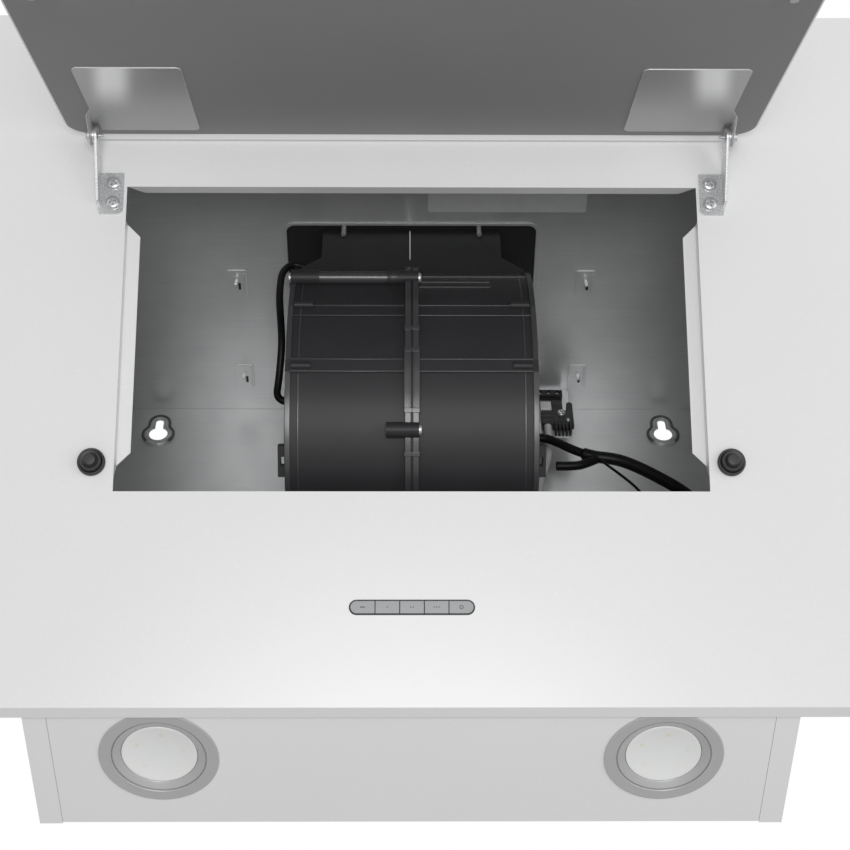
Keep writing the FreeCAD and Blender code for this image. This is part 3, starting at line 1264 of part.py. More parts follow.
def makeLeads():
    across = value(supplyAcross)
    depth = value(supplyDepth)
    clampLow = value(ceiling + " - clampDrop - clampHeight")
    plugLow = value(connectorLow)
    sideWall = value("scrollHalfWidth")
    ringFace = value("scrollHalfWidth + spiderSheet")
    inward = FreeCAD.Vector(0, value("sin(panelSlope)"), value("cos(panelSlope)"))
    switchBack = FreeCAD.Vector(
        0,
        value("-panelFootDepth - switchRise * cos(panelSlope) + (panelSheet + switchBoxDepth) * sin(panelSlope)"),
        value("panelFootHeight + switchRise * sin(panelSlope) + (panelSheet + switchBoxDepth) * cos(panelSlope)"))
    lampTop = FreeCAD.Vector(
        0,
        value("-lampRear * cos(lampSlope) + (bodySheet + lampHousingHeight) * sin(lampSlope)"),
        value("lampRear * sin(lampSlope) + (bodySheet + lampHousingHeight) * cos(lampSlope)"))
    lampAway = FreeCAD.Vector(0, value("sin(lampSlope)"), value("cos(lampSlope)"))

    # A place on the lamp housing's lid, or straight out from it
    def lampEnd(place, out=0):
        return tuple(lampTop + lampAway * out + FreeCAD.Vector(place, 0, 0))

    def switchEnd(place, out=0):
        return tuple(switchBack + inward * out + FreeCAD.Vector(place, 0, 0))

    lead("supply_cable", tube("supply_cable", [
        (across, depth, plugLow),
        (across, depth, clampLow - 12),
        (105, -35, 316),
        (99.9, -48, 279.7),
        (92.3, -60, 249.2),
        (90, -67, 222),
        (91, -73, 192),
        (94, -77, 160),
        (103, -79, 126),
        (122, -74, 92),
        lampEnd(142, 40),
        lampEnd(148, 20),
        lampEnd(148),
    ], value("supplyCableRadius")))
    trunk = tube("control_cable trunk", [
        (126, -60, 279.3),
        (134.5, -60, 275.6),
        (143, -60, 274.6),
        (154, -60, 271.6),
        (166.3, -60, 263.9),
        (179.7, -60, 253.4),
        (194.8, -60, 239.9),
        (207, -63, 218),
        (208, -70, 188),
        (202, -80, 156),
        (186, -90, 128),
        (158, -98, 110),
        (122, -102, 101),
        (88, -101, 96),
        (58, -99, 91),
        switchEnd(34, 27),
        switchEnd(34),
    ], value("controlCableRadius"))
    upper = tube("control_cable branch", [
        (sideWall, -60, 297.2),
        (97, -60, 297.2),
        (107.4, -60, 291.7),
        (118.9, -60, 283.1),
        (128.5, -60, 277.9),
    ], value("controlBranchRadius"))
    stub = tube("control_cable stub", [
        (105.3, -60, 265.9),
        (119.1, -60, 265.4),
        (128.9, -60, 269.1),
        (136.5, -60, 273.9),
    ], value("sleeveRadius"))
    lead("control_cable", trunk, upper, stub)
    lead("lamp_wire", tube("lamp_wire", [
        (137, -62.5, 270.5),
        (143, -64.6, 261),
        (150, -65, 252.3),
        (162.2, -65, 236.8),
        (173, -65, 210),
        (178, -64, 175),
        (178, -62, 137),
        (174, -59, 101),
        (167, -56, 71),
        lampEnd(162, 22),
        lampEnd(162),
    ], value("lampWireRadius")))
    lead("motor_lead", tube("motor_lead", [
        (-value("throatHalfWidth + seam"), -163, 367),
        (-76, -163, 367),
        (-87, -164.5, 371),
        (-94, -165, 360),
        (-94.5, -165, 342),
        (-94, -165, 326),
        (-92, -165, 306),
        (-90, -160, 285),
        (-92, -142, 268),
        (-95, -126, 261),
        (-ringFace, -126, 261),
    ], value("motorLeadRadius")))


makeFrontPanel()
makeBody()
makeCeilingTrim()
makeHinges()
makeSwitch()
makeLamps()
makeScroll()
makeFan()
makeOutlet()
makeTerminals()
makeLeads()

doc.recompute()

failed = [o.Name for o in doc.Objects if "Invalid" in o.State or "Error" in o.State]
if failed:
    raise RuntimeError("not computed: " + ", ".join(failed))
os.makedirs("parts", exist_ok=True)
for piece in nodes:
    shape = piece.Shape
    if shape.isNull() or not shape.isValid() or not shape.Solids:
        raise RuntimeError("bad shape: " + piece.Label)
    shape.exportStep("parts/%s.step" % piece.Label)
    print(piece.Label, len(shape.Solids), round(shape.Volume, 1))
print(len(nodes), "nodes")
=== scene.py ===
import json
import math
import bmesh
import bpy
from mathutils import Matrix, Vector


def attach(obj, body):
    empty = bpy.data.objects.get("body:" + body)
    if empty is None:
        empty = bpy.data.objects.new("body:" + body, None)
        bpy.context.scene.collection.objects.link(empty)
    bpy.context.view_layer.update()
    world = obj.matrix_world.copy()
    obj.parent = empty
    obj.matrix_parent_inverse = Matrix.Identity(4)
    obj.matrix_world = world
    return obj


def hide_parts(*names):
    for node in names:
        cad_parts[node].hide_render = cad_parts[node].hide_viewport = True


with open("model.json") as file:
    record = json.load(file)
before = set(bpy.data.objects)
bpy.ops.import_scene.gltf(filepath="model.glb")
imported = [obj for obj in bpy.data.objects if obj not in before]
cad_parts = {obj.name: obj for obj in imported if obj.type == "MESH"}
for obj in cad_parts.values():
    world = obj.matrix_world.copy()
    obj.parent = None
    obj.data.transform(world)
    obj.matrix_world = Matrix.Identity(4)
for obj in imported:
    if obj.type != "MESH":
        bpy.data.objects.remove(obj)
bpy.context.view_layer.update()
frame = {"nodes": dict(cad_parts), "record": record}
nodes = frame["nodes"]
print("frame loaded:", len(nodes), "nodes")

mm = 0.001


# helpers for shader nodes and colours

# adds one shader node with its settings and its inputs; an input is a value or a socket
def addNode(tree, kind, inputs=None, **settings):
    node = tree.nodes.new("ShaderNode" + kind)
    for name, value in settings.items():
        setattr(node, name, value)
    connect(tree, node, inputs or {})
    return node


def connect(tree, node, inputs):
    for name, value in inputs.items():
        if isinstance(value, bpy.types.NodeSocket):
            tree.links.new(value, node.inputs[name])
        else:
            node.inputs[name].default_value = value


# sRGB hex to the linear colour that a shader takes, with the sRGB curve's own numbers
def linear(code):
    values = [int(code[start:start + 2], 16) / 255 for start in (1, 3, 5)]
    return [v / 12.92 if v <= 0.04045 else ((v + 0.055) / 1.055) ** 2.4 for v in values] + [1]


# how often a pattern of that size in millimetres repeats in a metre
def perMetre(sizeMm):
    return 1000 / sizeMm


# helpers for meshes and pieces; sizes and outlines are in mm, meshes and places in metres

bodyOf = {node: body for body, members in frame["record"]["behaviour"]["bodies"].items() for node in members}
slotOf = {row["node"]: row["material_slot"] for row in frame["record"]["subparts"]}
materials = {}
meshLook = {
    "easeSegments": 2, "easeAngle": 38, "faceWeight": 50, "sharpAngle": 32, "weld": 2e-6, "flatAngle": 0.6,
}


# a piece drawn in the place of a CAD node, with one material or several by face
def asPiece(node, mesh, *more):
    for material in (materials[slotOf[node]],) + more:
        mesh.materials.append(material)
    piece = bpy.data.objects.new(node + "Piece", mesh)
    bpy.context.scene.collection.objects.link(piece)
    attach(piece, bodyOf[node])
    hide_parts(node)
    return piece


def loosePiece(name, data):
    piece = bpy.data.objects.new(name, data)
    bpy.context.scene.collection.objects.link(piece)
    return piece


# evaluates the modifiers of a loose object and keeps only the mesh
def applied(piece):
    bpy.context.view_layer.update()
    mesh = bpy.data.meshes.new_from_object(piece.evaluated_get(bpy.context.evaluated_depsgraph_get()))
    bpy.data.objects.remove(piece)
    return mesh


def shadeByAngle(mesh, degrees=meshLook["sharpAngle"]):
    mesh.shade_smooth()
    mesh.set_sharp_from_angle(angle=math.radians(degrees))


def meshFrom(name, build):
    mesh = bpy.data.meshes.new(name)
    build.to_mesh(mesh)
    build.free()
    return mesh


def closedMesh(name, build, degrees=meshLook["sharpAngle"]):
    bmesh.ops.recalc_face_normals(build, faces=build.faces)
    mesh = meshFrom(name, build)
    shadeByAngle(mesh, degrees)
    return mesh


# rounds the edges of a mesh that turn by more than the angle
def bevelled(mesh, width, segments=meshLook["easeSegments"]):
    mesh.shade_smooth()
    loose = loosePiece("loose", mesh)
    bevel = loose.modifiers.new("ease", "BEVEL")
    bevel.width = width * mm
    bevel.segments = segments
    bevel.limit_method = "ANGLE"
    bevel.angle_limit = math.radians(meshLook["easeAngle"])
    # the wide faces keep their own direction, so that only the rounded edges turn the light
    weighted = loose.modifiers.new("flat", "WEIGHTED_NORMAL")
    weighted.mode = "FACE_AREA"
    weighted.weight = meshLook["faceWeight"]
    return applied(loose)


# a CAD node's shape with its flat faces whole
def plainShape(node):
    build = bmesh.new()
    build.from_mesh(nodes[node].data)
    bmesh.ops.remove_doubles(build, verts=build.verts, dist=meshLook["weld"])
    bmesh.ops.dissolve_limit(build, angle_limit=math.radians(meshLook["flatAngle"]),
                             verts=build.verts, edges=build.edges)
    return meshFrom(node + "Shape", build)


# the same with its edges eased, as folding and moulding leave them
def eased(node, width, *segments):
    return bevelled(plainShape(node), width, *segments)


# moves a mesh drawn along +Z to a place, with +Z turned to the axis
def placed(mesh, place, axis=(0, 0, 1), spin=0):
    turn = Vector((0, 0, 1)).rotation_difference(Vector(axis).normalized()).to_matrix().to_4x4()
    mesh.transform(Matrix.Translation(Vector(place)) @ turn @ Matrix.Rotation(spin, 4, "Z"))
    return mesh


# across and up to a point that far from the middle, turned by degrees from the first axis
def polar(radius, degrees):
    return radius * math.cos(math.radians(degrees)), radius * math.sin(math.radians(degrees))


# a mesh from profile points (radius, height), turned about Z; closed joins the last point to the first
def turned(name, profile, steps=64, closed=False):
    build = bmesh.new()
    rings = []
    for radius, height in profile:
        circle = [polar(radius, 360 * i / steps) for i in range(steps if radius else 1)]
        rings.append([build.verts.new((x * mm, y * mm, height * mm)) for x, y in circle])
    for low, high in list(zip(rings, rings[1:])) + ([(rings[-1], rings[0])] if closed else []):
        for i in range(steps):
            j = (i + 1) % steps
            corners = [low[i % len(low)], low[j % len(low)], high[j % len(high)], high[i % len(high)]]
            unique = list(dict.fromkeys(corners))
            if len(unique) > 2:
                build.faces.new(unique)
    return closedMesh(name, build)


# a skin over rows of corners: faces between neighbouring rows, and one over each end
def skinned(name, rows, degrees=meshLook["sharpAngle"], unit=mm):
    build = bmesh.new()
    rings = [[build.verts.new([value * unit for value in corner]) for corner in row] for row in rows]
    for low, high in zip(rings, rings[1:]):
        for i in range(len(low)):
            j = (i + 1) % len(low)
            build.faces.new((low[i], low[j], high[j], high[i]))
    build.faces.new(rings[0])
    build.faces.new(rings[-1])
    return closedMesh(name, build, degrees)


# a flat outline raised from one height to another along Z
def raised(name, outline, low, high):
    return skinned(name, [[(x, y, z) for x, y in outline] for z in (low, high)])


# a disc or a ring by its radius, its two heights and its hole
def disc(name, radius, low, high, steps, hole=0):
    return turned(name, [(hole, low), (radius, low), (radius, high), (hole, high)], steps, closed=hole > 0)


# the outline of a rectangle with round corners, about its middle
def roundedOutline(width, length, corner, steps=6):
    points = []
    for quarter, (sideX, sideY) in enumerate(((1, 1), (-1, 1), (-1, -1), (1, -1))):
        for step in range(steps + 1):
            x, y = polar(corner, 90 * quarter + 90 * step / steps)
            points.append((sideX * (width / 2 - corner) + x, sideY * (length / 2 - corner) + y))
    return points


# a plate with round corners; its size is width, length and corner
def plate(name, size, low, high):
    return raised(name, roundedOutline(*size), low, high)


# a strip of sheet along a path in depth and height
def strip(name, path, width, thick, degrees=40):
    rows = []
    for i, (depth, height) in enumerate(path):
        before, after = path[max(0, i - 1)], path[min(len(path) - 1, i + 1)]
        along = Vector((after[0] - before[0], after[1] - before[1])).normalized()
        side = Vector((-along.y, along.x)) * thick / 2
        rows.append([(x, depth + face * side.x, height + face * side.y)
                     for x, face in ((-width / 2, -1), (width / 2, -1), (width / 2, 1), (-width / 2, 1))])
    return skinned(name, rows, degrees)


# a round sheath along a smooth path
def sheath(name, path, radius, roundSteps, alongSteps, capped=False):
    data = bpy.data.curves.new(name, "CURVE")
    data.dimensions = "3D"
    data.bevel_depth = radius * mm
    data.bevel_resolution = roundSteps
    data.resolution_u = alongSteps
    data.use_fill_caps = capped
    spline = data.splines.new("NURBS")
    spline.points.add(len(path) - 1)
    for point, (x, y, z) in zip(spline.points, path):
        point.co = (x * mm, y * mm, z * mm, 1)
    spline.order_u = 3
    spline.use_endpoint_u = True
    return applied(loosePiece(name, data))


def joined(name, meshes):
    build = bmesh.new()
    for mesh in meshes:
        build.from_mesh(mesh)
    return meshFrom(name, build)


# gives a mesh's faces the piece's first material (0) or a further one
def inMaterial(mesh, number):
    for face in mesh.polygons:
        face.material_index = number
    return mesh


def mirroredX(mesh):
    copy = mesh.copy()
    copy.transform(Matrix.Scale(-1, 4, (1, 0, 0)))
    copy.flip_normals()
    return copy


def cutBy(mesh, tool):
    loose, knife = loosePiece("loose", mesh), loosePiece("knife", tool)
    cut = loose.modifiers.new("cut", "BOOLEAN")
    cut.operation = "DIFFERENCE"
    cut.solver = "EXACT"
    cut.object = knife
    mesh = applied(loose)
    bpy.data.objects.remove(knife)
    shadeByAngle(mesh)
    return mesh


# places and directions that the pieces share, in metres, with the hinge's place on the panel in mm

layout = {
    "hang": 0.364,
    "panelSlope": math.radians(57.4),
    "panelFoot": (0, -0.1037, 0.00975),
    "lampSlope": math.radians(7.4),
    "hingeRise": 362.4,
    "hingeStandoff": 18.75,
    "fanAxis": (0, -0.117, -0.122),
    "ceiling": 0.031,
}
panelUp = Vector((0, -math.cos(layout["panelSlope"]), math.sin(layout["panelSlope"])))
panelOut = Vector((0, -math.sin(layout["panelSlope"]), -math.cos(layout["panelSlope"])))
panelFoot = Vector(layout["panelFoot"]) - Vector((0, 0, layout["hang"]))
lampBack = Vector((0, math.cos(layout["lampSlope"]), -math.sin(layout["lampSlope"])))
lampUp = Vector((0, math.sin(layout["lampSlope"]), math.cos(layout["lampSlope"])))
acrossX = Vector((1, 0, 0))
forward = Vector((0, -1, 0))


def onPanel(across, rise, out):
    return panelFoot + (acrossX * across + panelUp * rise + panelOut * out) * mm


def onLampPlate(across, back, up):
    return Vector((across * mm, 0, -layout["hang"])) + (lampBack * back + lampUp * up) * mm


# a place on the blower's drum: degrees up from straight forward, and mm from its axis
def onDrum(across, angle, radius):
    ahead, up = polar(radius, angle)
    return Vector(layout["fanAxis"]) + Vector((across, -ahead, up)) * mm


# a place by mm across and in depth, and height from the ceiling's underside
def atCeiling(across, depth, height):
    return Vector((across, depth, height)) * mm + Vector((0, 0, layout["ceiling"]))


# camera, stage and light; places in metres

view = {
    "place": (-0.00296, -0.9049, -0.9911),
    "elevation": 47.97,
    "yaw": 0.898,
    "roll": -0.617,
    "focalPixels": 1690,
    "photoPixels": 850,
    "sensorMm": 36,
    "nearest": 0.05,
}


def makeCamera():
    elevation, yaw, roll = (math.radians(view[name]) for name in ("elevation", "yaw", "roll"))
    level = math.cos(elevation)
    ahead = Vector((math.sin(yaw) * level, math.cos(yaw) * level, math.sin(elevation)))
    side = ahead.cross(Vector((0, 0, 1))).normalized()
    right = side * math.cos(roll) + side.cross(ahead) * math.sin(roll)
    data = bpy.data.cameras.new("photoCamera")
    data.sensor_width = view["sensorMm"]
    data.lens = view["focalPixels"] / view["photoPixels"] * view["sensorMm"]
    data.clip_start = view["nearest"]
    camera = loosePiece("photoCamera", data)
    camera.matrix_world = Matrix((right, right.cross(ahead), -ahead)).transposed().to_4x4()
    camera.location = view["place"]
    bpy.context.scene.camera = camera


studio = {
    "floorDrop": 2.6,
    "floorSize": 14,
    "paper": "#F2F2F2",
    "background": "#FFFFFF",
    "ambient": "#FFFFFF",
    "ambientStrength": 0.38,
    "lights": [
        # name, place, aim, width, power
        ("keyLight", (0.0, -2.1, -1.75), (0.0, -0.2, -0.12), 1.1, 20),
        ("fillLight", (1.9, -1.5, -1.2), (0.1, -0.2, -0.25), 1.6, 9.5),
        ("lowLight", (0.0, -1.5, -1.75), (0.0, -0.3, -0.15), 1.4, 4),
    ],
}


def makeStage():
    # studio background paper, matt: a pale floor with no shine
    material = bpy.data.materials.new("studioPaper")
    material.use_nodes = True
    tree = material.node_tree
    tree.nodes.clear()
    paper = addNode(tree, "BsdfDiffuse", {"Color": linear(studio["paper"])})
    addNode(tree, "OutputMaterial", {"Surface": paper.outputs["BSDF"]})
    half, level = studio["floorSize"] / 2, -studio["floorDrop"]
    mesh = bpy.data.meshes.new("floor")
    mesh.from_pydata([(-half, -half, level), (half, -half, level), (half, half, level), (-half, half, level)],
                     [], [(0, 1, 2, 3)])
    mesh.materials.append(material)
    loosePiece("floor", mesh)

    # the world is white to the camera, to gloss and through clear things, and dimmer as a light
    world = bpy.data.worlds.new("studio")
    bpy.context.scene.world = world
    world.use_nodes = True
    tree = world.node_tree
    tree.nodes.clear()
    path = addNode(tree, "LightPath")
    seen = path.outputs["Is Camera Ray"]
    for kind in ("Is Glossy Ray", "Is Transmission Ray"):
        seen = addNode(tree, "Math", {0: seen, 1: path.outputs[kind]}, operation="MAXIMUM").outputs[0]
    ambient = addNode(tree, "Background",
                      {"Color": linear(studio["ambient"]), "Strength": studio["ambientStrength"]})
    shown = addNode(tree, "Background", {"Color": linear(studio["background"]), "Strength": 1})
    mix = addNode(tree, "MixShader", {0: seen, 1: ambient.outputs[0], 2: shown.outputs[0]})
    addNode(tree, "OutputWorld", {"Surface": mix.outputs[0]})


def makeLights():
    for name, place, aim, width, power in studio["lights"]:
        data = bpy.data.lights.new(name, "AREA")
        data.shape = "DISK"
        data.size = width
        data.energy = power
        light = loosePiece(name, data)
        light.location = place
        light.rotation_euler = (Vector(aim) - Vector(place)).to_track_quat("-Z", "Y").to_euler()


makeCamera()
makeStage()
makeLights()
bpy.context.scene.view_settings.view_transform = "Standard"
print("camera and studio ready")


# materials

# A surface with a fine grain, slow patches and the small differences of gloss that go with them.
# grainMm and patchMm are the sizes on the real thing; stretch draws the grain out along an axis.
def surface(name, low, high, grainMm, patchMm, rough, depthMm, strength=0.3, fleck=0.03, stretch=(1, 1, 1),
            detail=3, metallic=0, specular=0.5, shader=None):
    material = bpy.data.materials.new(name)
    material.use_nodes = True
    tree = material.node_tree
    tree.nodes.clear()
    principled = addNode(tree, "BsdfPrincipled")
    addNode(tree, "OutputMaterial", {"Surface": principled.outputs["BSDF"]})
    point = addNode(tree, "TexCoord").outputs["Object"]
    drawn = addNode(tree, "Mapping", {"Vector": point, "Scale": stretch})
    grain = addNode(tree, "TexNoise",
                    {"Vector": drawn.outputs[0], "Scale": perMetre(grainMm), "Detail": detail}).outputs["Fac"]
    patch = addNode(tree, "TexNoise", {"Vector": point, "Scale": perMetre(patchMm), "Detail": 2})
    tone = addNode(tree, "Mix",
                   {"Factor": patch.outputs["Fac"], "A": linear(low), "B": linear(high)}, data_type="RGBA")
    # the middle of the noise, from 0.35 to 0.65, holds nearly all of it
    speck = addNode(tree, "MapRange",
                    {"Value": grain, "From Min": 0.35, "From Max": 0.65, "To Min": 1 - fleck, "To Max": 1})
    colour = addNode(tree, "Mix", {"Factor": 1.0, "A": tone.outputs["Result"], "B": speck.outputs[0]},
                     data_type="RGBA", blend_type="MULTIPLY")
    gloss = addNode(tree, "MapRange", {"Value": grain, "To Min": rough[0], "To Max": rough[1]})
    bump = addNode(tree, "Bump", {"Height": grain, "Strength": strength, "Distance": depthMm * mm})
    connect(tree, principled, {"Base Color": colour.outputs["Result"], "Roughness": gloss.outputs[0],
                               "Normal": bump.outputs[0], "Metallic": metallic,
                               "Specular IOR Level": specular, **(shader or {})})
    return material


# mixes another colour into a material's own, as strongly as the socket says
def tinted(material, strength, code):
    tree = material.node_tree
    principled = next(node for node in tree.nodes if node.bl_idname == "ShaderNodeBsdfPrincipled")
    own = principled.inputs["Base Color"].links[0].from_socket
    tone = addNode(tree, "Mix", {"Factor": strength, "A": own, "B": linear(code)}, data_type="RGBA")
    connect(tree, principled, {"Base Color": tone.outputs["Result"]})
    return material


# Powder coat on steel, sprayed and baked: a smooth white gloss whose skin ripples like orange peel,
# so that soft light runs out over it without a hard edge
materials["white_enamel"] = surface(
    "whitePowderCoat", "#EFEFEF", "#F2F2F2", grainMm=2.4, patchMm=90, rough=(0.2, 0.3), depthMm=0.012,
    strength=0.35, fleck=0.01, detail=2, shader={"IOR": 1.5})

# Hot-dip galvanised sheet, skin-passed: dull zinc with fine rolling streaks across and cloudy patches;
# part of its light comes back matt, so it greys off softly away from the lamp
materials["galvanised_steel"] = surface(
    "galvanisedSheet", "#D3D4D5", "#E2E3E3", grainMm=0.9, patchMm=24, rough=(0.3, 0.42), depthMm=0.01,
    fleck=0.05, stretch=(0.02, 1, 1), metallic=0.5)

# Grey stove enamel inside the flap, thin and rolled on: even, half matt, with a very fine skin
materials["dark_enamel"] = surface(
    "greyStoveEnamel", "#8E8E8F", "#939394", grainMm=1.2, patchMm=60, rough=(0.64, 0.76), depthMm=0.01,
    fleck=0.02, specular=0.2)


# Stainless strip brushed up and down the sheet: fine lines soften all that it mirrors; a slanted band beside
# the hinge is a painted highlight, a lighter colour with a soft edge that stands in for a reflection; its
# places are in metres
def brushedStrip():
    # bright is the painted highlight's colour; the other numbers place its band and limit it along the plate
    look = {"bright": "#E4E4E4", "across": 0.2603, "slant": -0.21, "reach": 0.0095, "fade": 0.006,
            "depth": (-0.375, -0.338)}
    material = surface(
        "brushedStainless", "#A6A6A7", "#AEAEAF", grainMm=0.35, patchMm=30, rough=(0.3, 0.42), depthMm=0.006,
        strength=0.4, fleck=0.06, stretch=(1, 0.03, 0.03), metallic=0.6)
    tree = material.node_tree
    place = addNode(tree, "SeparateXYZ", {0: addNode(tree, "TexCoord").outputs["Object"]})
    side = addNode(tree, "Math", {0: place.outputs["X"]}, operation="ABSOLUTE")
    slanted = addNode(tree, "Math", {0: place.outputs["Y"], 1: look["slant"], 2: side.outputs[0]},
                      operation="MULTIPLY_ADD")
    offset = addNode(tree, "Math", {0: slanted.outputs[0], 1: look["across"]}, operation="SUBTRACT")
    away = addNode(tree, "Math", {0: offset.outputs[0]}, operation="ABSOLUTE").outputs[0]
    # the band's two soft edges, across the plate and along it, mask the painted highlight
    paintedSheenEdges = []
    for value, start, end in ((away, look["reach"] - look["fade"], look["reach"] + look["fade"]),
                              (place.outputs["Y"], *look["depth"])):
        edge = {"Value": value, "From Min": start, "From Max": end, "To Min": 1.0, "To Max": 0.0}
        paintedSheenEdges.append(addNode(tree, "MapRange", edge, interpolation_type="SMOOTHSTEP").outputs[0])
    band = addNode(tree, "Math", {0: paintedSheenEdges[0], 1: paintedSheenEdges[1]}, operation="MULTIPLY")
    return tinted(material, band.outputs[0], look["bright"])


materials["stainless_steel"] = brushedStrip()

# Sheared edge of stainless strip: freshly cut metal, much brighter than the brushed face; its light colour is
# partly the cut metal's own and partly a painted highlight, and it also paints highlights on the hook edges,
# hook tongues and the seam clip
shearedEdgeAndHighlight = surface(
    "shearedEdgeAndHighlight", "#ECECEC", "#F6F6F6", grainMm=0.25, patchMm=12, rough=(0.24, 0.36), depthMm=0.006,
    strength=0.4, fleck=0.08, metallic=0.5)

# Painted shadow round the keyholes: a dark, dry zinc colour on the bead where shade falls at the pressed step
paintedShadowZinc = surface(
    "paintedShadowZinc", "#66676A", "#77787A", grainMm=0.4, patchMm=5, rough=(0.34, 0.5), depthMm=0.01,
    strength=0.4, fleck=0.12, metallic=0.4)

# Zinc-plated steel of screws and brackets: bright, slightly clouded by the passivation bath
materials["satin_zinc"] = surface(
    "zincPlatedSteel", "#D2D3D4", "#DEDFE0", grainMm=0.5, patchMm=5, rough=(0.22, 0.34), depthMm=0.006,
    fleck=0.05, metallic=0.7)

# Compression-moulded rubber: nearly black, matt, with a bloom of lighter powder in patches
materials["black_rubber"] = surface(
    "mouldedRubber", "#1B1B1C", "#272728", grainMm=0.4, patchMm=3, rough=(0.34, 0.5), depthMm=0.02,
    strength=0.4, fleck=0.1, specular=0.6)

# Silver paint with metal flake over moulded buttons: a grey sheen broken by fine glints
materials["silver_plastic"] = surface(
    "flakePaint", "#A2A4A6", "#AAACAD", grainMm=0.12, patchMm=12, rough=(0.44, 0.56), depthMm=0.004,
    fleck=0.12, metallic=0.2, specular=0.3)

# Charcoal gloss plastic of the switch frame: keeps a thin clear highlight at its rim
materials["dark_trim"] = surface(
    "charcoalGloss", "#29292A", "#2E2E2F", grainMm=0.6, patchMm=10, rough=(0.24, 0.34), depthMm=0.006,
    fleck=0.04)

# Printing ink of the marks on the buttons: matt grey, a shade under the paint
markInk = surface(
    "markInk", "#5E6062", "#66686A", grainMm=0.3, patchMm=4, rough=(0.5, 0.65), depthMm=0.004, fleck=0.08)

# Injection-moulded black polypropylene from a spark-eroded mould: soft sheen on a fine leathery grain
materials["black_plastic"] = surface(
    "blackPolypropylene", "#2B2B2D", "#343436", grainMm=0.7, patchMm=45, rough=(0.34, 0.46), depthMm=0.012,
    strength=0.4, fleck=0.05, specular=0.22)

# The same plastic where the mould was polished, on ribs, tubes and rims: a glossy skin that gathers the
# light, in a lighter colour that is partly a painted highlight
glossAndHighlightPolypropylene = surface(
    "glossAndHighlightPolypropylene", "#3A3A3C", "#434345", grainMm=0.9, patchMm=30, rough=(0.2, 0.3),
    depthMm=0.006, specular=0.6)

# Glass-fibre laminate under green solder lacquer: the weave shows faintly through the lacquer
materials["board_laminate"] = surface(
    "greenLaminate", "#1B4A2C", "#245A37", grainMm=1.1, patchMm=8, rough=(0.28, 0.42), depthMm=0.01,
    fleck=0.12, stretch=(0.3, 1, 1))

# White lacquered aluminium board of the lamps: bright and slightly uneven, to throw light forward
materials["white_board"] = surface(
    "whiteLacquerBoard", "#E2E2DA", "#ECECE6", grainMm=0.6, patchMm=9, rough=(0.3, 0.42), depthMm=0.006)

# Satin nickel paint on the lamp rings: quiet metallic grey with fine flake, no mirror
materials["satin_nickel"] = surface(
    "satinNickelPaint", "#C3C3C3", "#C8C8C8", grainMm=0.15, patchMm=14, rough=(0.34, 0.46), depthMm=0.004,
    fleck=0.06, metallic=0.25)

# Bare aluminium foil label: faint creases from the glue under it break its sheen
materials["bare_foil"] = surface(
    "aluminiumFoil", "#ECEDEE", "#F4F5F6", grainMm=7, patchMm=22, rough=(0.4, 0.52), depthMm=0.03,
    strength=0.25, metallic=0.25)

# Die-cast aluminium of the motor shell: grainy, half matt, darker in the flow marks
materials["motor_alloy"] = surface(
    "castAluminium", "#7E7F81", "#96979A", grainMm=0.8, patchMm=11, rough=(0.42, 0.6), depthMm=0.03,
    strength=0.5, fleck=0.12, metallic=0.9)

# Turned steel of the motor shaft: tool lines run round the bar, so the grain is drawn short along X
materials["turned_steel"] = surface(
    "turnedSteel", "#A6A7A9", "#B4B5B7", grainMm=0.3, patchMm=12, rough=(0.18, 0.3), depthMm=0.008,
    strength=0.4, fleck=0.1, stretch=(1, 0.04, 0.04), metallic=1.0)

# Pressed steel of the motor bracket, phosphated: dark, dry and finely crystalline
materials["sheet_steel"] = surface(
    "phosphatedSteel", "#57585A", "#66676A", grainMm=0.35, patchMm=16, rough=(0.46, 0.62), depthMm=0.012,
    strength=0.5, fleck=0.14, metallic=0.7)

# Glass-filled nylon of the cable clamp: dark grey with pale fibre specks at the surface
materials["grey_plastic"] = surface(
    "filledNylon", "#202021", "#2A2A2B", grainMm=0.3, patchMm=6, rough=(0.38, 0.55), depthMm=0.012,
    strength=0.5, fleck=0.2, stretch=(0.25, 1, 1))

# Natural nylon of the plug housing: milky white with a soft sheen
materials["white_plastic"] = surface(
    "naturalNylon", "#F0F0ED", "#F6F6F3", grainMm=0.6, patchMm=7, rough=(0.32, 0.44), depthMm=0.008)

# White vinyl sheath, extruded: soft satin with a slow waviness along the lead
materials["white_cable"] = surface(
    "whiteVinyl", "#EBEBE8", "#F2F2EF", grainMm=2.2, patchMm=18, rough=(0.34, 0.46), depthMm=0.03,
    strength=0.4, fleck=0.04)

# Black vinyl sheath, extruded and talced: dark, with a long narrow highlight and dusty patches
materials["black_cable"] = surface(
    "blackVinyl", "#111112", "#18181A", grainMm=1.6, patchMm=14, rough=(0.34, 0.5), depthMm=0.02,
    strength=0.4, fleck=0.1, specular=0.25)


# Opal acrylic of the lamp covers, sand-blasted inside: a milky white whose tone warms where
# a light-emitting chip sits close behind it; the mesh carries that warmth as a colour layer
def opalAcrylic():
    material = surface(
        "opalAcrylic", "#F2F3F2", "#F6F6F5", grainMm=0.5, patchMm=15, rough=(0.3, 0.42), depthMm=0.005,
        fleck=0.02, shader={"Subsurface Weight": 0.1, "Subsurface Scale": 0.003})
    warmth = addNode(material.node_tree, "VertexColor", layer_name="warmth")
    return tinted(material, warmth.outputs["Color"], "#E9D8A6")


materials["frosted_lens"] = opalAcrylic()
for name, node in nodes.items():
    node.data.materials.clear()
    node.data.materials.append(materials[slotOf[name]])
print("materials ready:", len(materials))


# sheet metal and mouldings: how far each one's edges are eased

